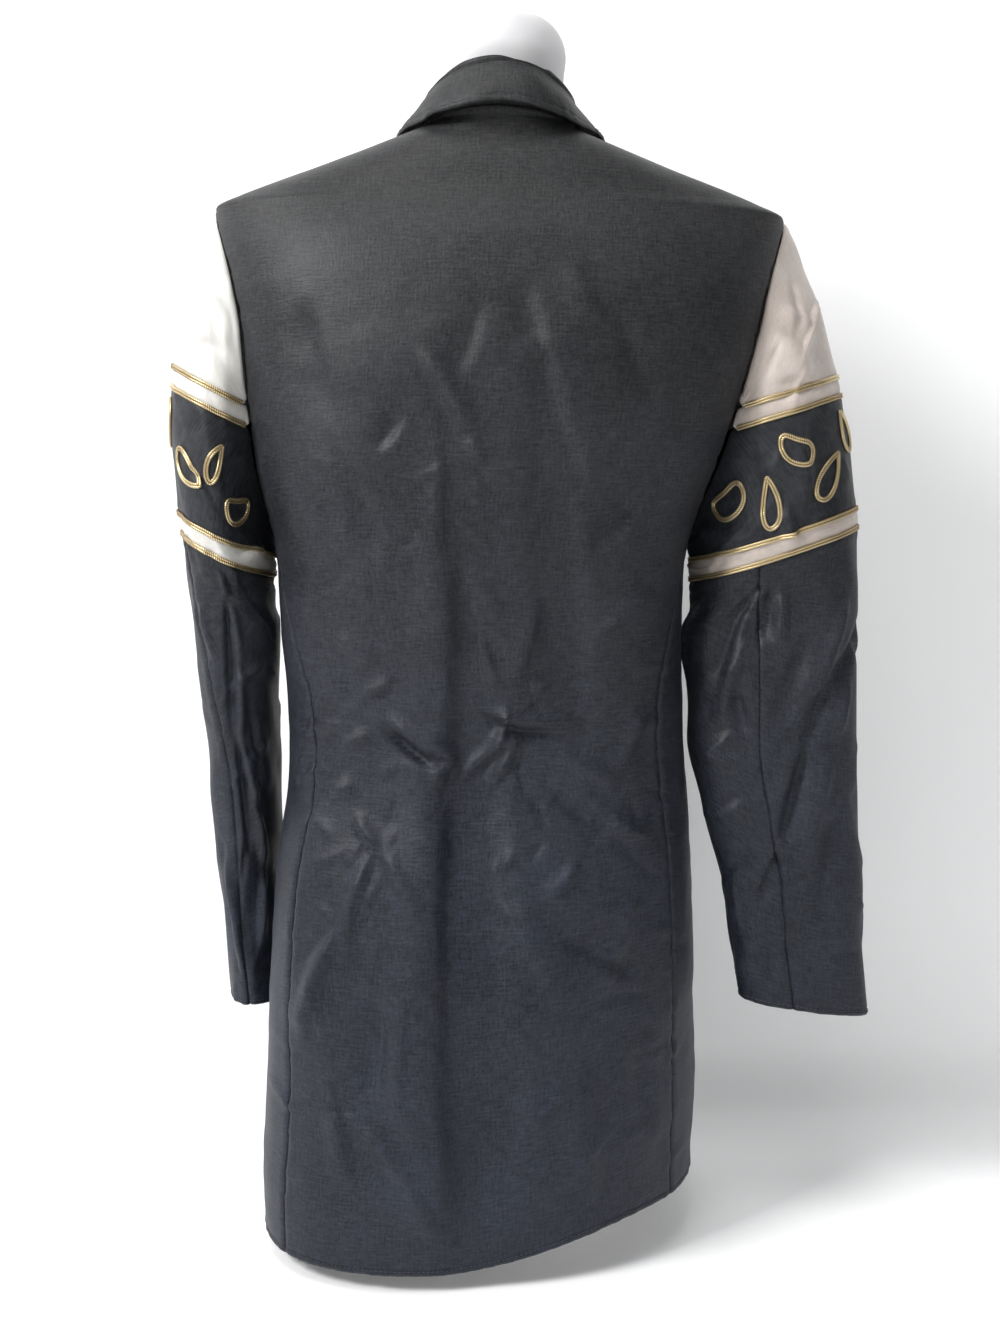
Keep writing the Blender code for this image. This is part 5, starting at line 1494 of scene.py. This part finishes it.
def make_form(shell):
    """The limbless form: a base disc, the torso and a round neck with a domed cap."""
    angle = np.linspace(0.0, 2 * np.pi, 120, endpoint=False)[None, :]
    height = np.linspace(0.0, 0.846, 110)[:, None]
    torso = form_surface(angle + 0 * height, height + 0 * angle)
    torso[0, :, 2] = 0.0
    base = torso[:1] * np.array([0.001, 0.5])[:, None, None]
    neck = spline(FORM_NECK, 44)
    level, radius = neck[:, :1], neck[:, 1:]
    cap = np.stack([radius * np.sin(angle), radius * np.cos(angle), level + 0 * angle], axis=-1)
    grid = np.concatenate([base, torso, cap])
    uv = np.stack([travelled(grid, 1), travelled(grid, 0)], axis=-1)
    if np.sum(grid_normals(grid, True)[60, :, :2] * grid[60, :, :2]) < 0:
        grid, uv = grid[::-1], uv[::-1]
    trim(grid_mesh("form_shell", [grid], uv, shell, True), "dress_form")


def make_stage():
    """A pale sweep: a floor that curves up into a wall behind the jacket."""
    turn = np.linspace(0.0, RIGHT_ANGLE, 16)
    y = np.concatenate([[STAGE_REACH], STAGE_WALL + STAGE_BEND * (1.0 - np.sin(turn)), [STAGE_WALL]])
    z = np.concatenate([[0.0], STAGE_BEND * (1.0 - np.cos(turn)), [STAGE_REACH]])
    x = np.linspace(-STAGE_REACH, STAGE_REACH, 3)
    grid = np.stack(np.broadcast_arrays(x, y[::-1, None], z[::-1, None]), axis=-1)
    grid_mesh("sweep", [grid], grid[..., :2], stage_material(), False)


def add_light(name, place, aim, size, power):
    """A square lamp turned from its place to a height on the part's upright axis."""
    light = bpy.data.lights.new(name, "AREA")
    light.size = size
    light.energy = power
    lamp = bpy.data.objects.new(name, light)
    bpy.context.scene.collection.objects.link(lamp)
    x, y, z = place
    lamp.location = place
    lamp.rotation_euler = (np.arctan2(np.hypot(x, y), z - aim), 0.0, np.arctan2(x, -y))


def light_and_camera():
    """The pale world, the lamps, and the camera at the photo's place behind the jacket."""
    world = bpy.data.worlds.new("studio")
    world.use_nodes = True
    background = world.node_tree.nodes["Background"]
    background.inputs["Color"].default_value = DAYLIGHT
    background.inputs["Strength"].default_value = WORLD_STRENGTH
    bpy.context.scene.world = world
    bpy.context.scene.view_settings.view_transform = "Standard"
    for row in LIGHTS:
        add_light(*row)
    camera = bpy.data.cameras.new("camera")
    camera.sensor_fit = "VERTICAL"
    camera.sensor_height = SENSOR_HEIGHT
    camera.lens = CAMERA_LENS
    holder = bpy.data.objects.new("camera", camera)
    holder.location = CAMERA_PLACE
    holder.rotation_euler = (CAMERA_PITCH, 0.0, np.pi)
    bpy.context.scene.collection.objects.link(holder)
    bpy.context.scene.camera = holder


def main():
    """Every piece on its solid, then the stage, the lamps and the camera; each cloth sheet's size is printed
    as it is made.
    """
    linen, cotton, gold = linen_material(), cotton_material(), gold_material()
    thread, shell, button = thread_material(), form_material(), button_material()
    lines = make_back(linen) + make_collar(linen)
    for side in SIGN:
        lines += make_side_back(side, linen) + make_front(side, linen) + make_lapel(side, linen)
        lines += make_sleeve(side, linen, cotton)
        make_cords(side, gold)
    stitches("edge_stitches", lines, thread)
    for number, height in enumerate(BUTTON_HEIGHTS, start=1):
        make_button(number, height, button, thread)
    make_form(shell)
    make_stage()
    light_and_camera()


main()
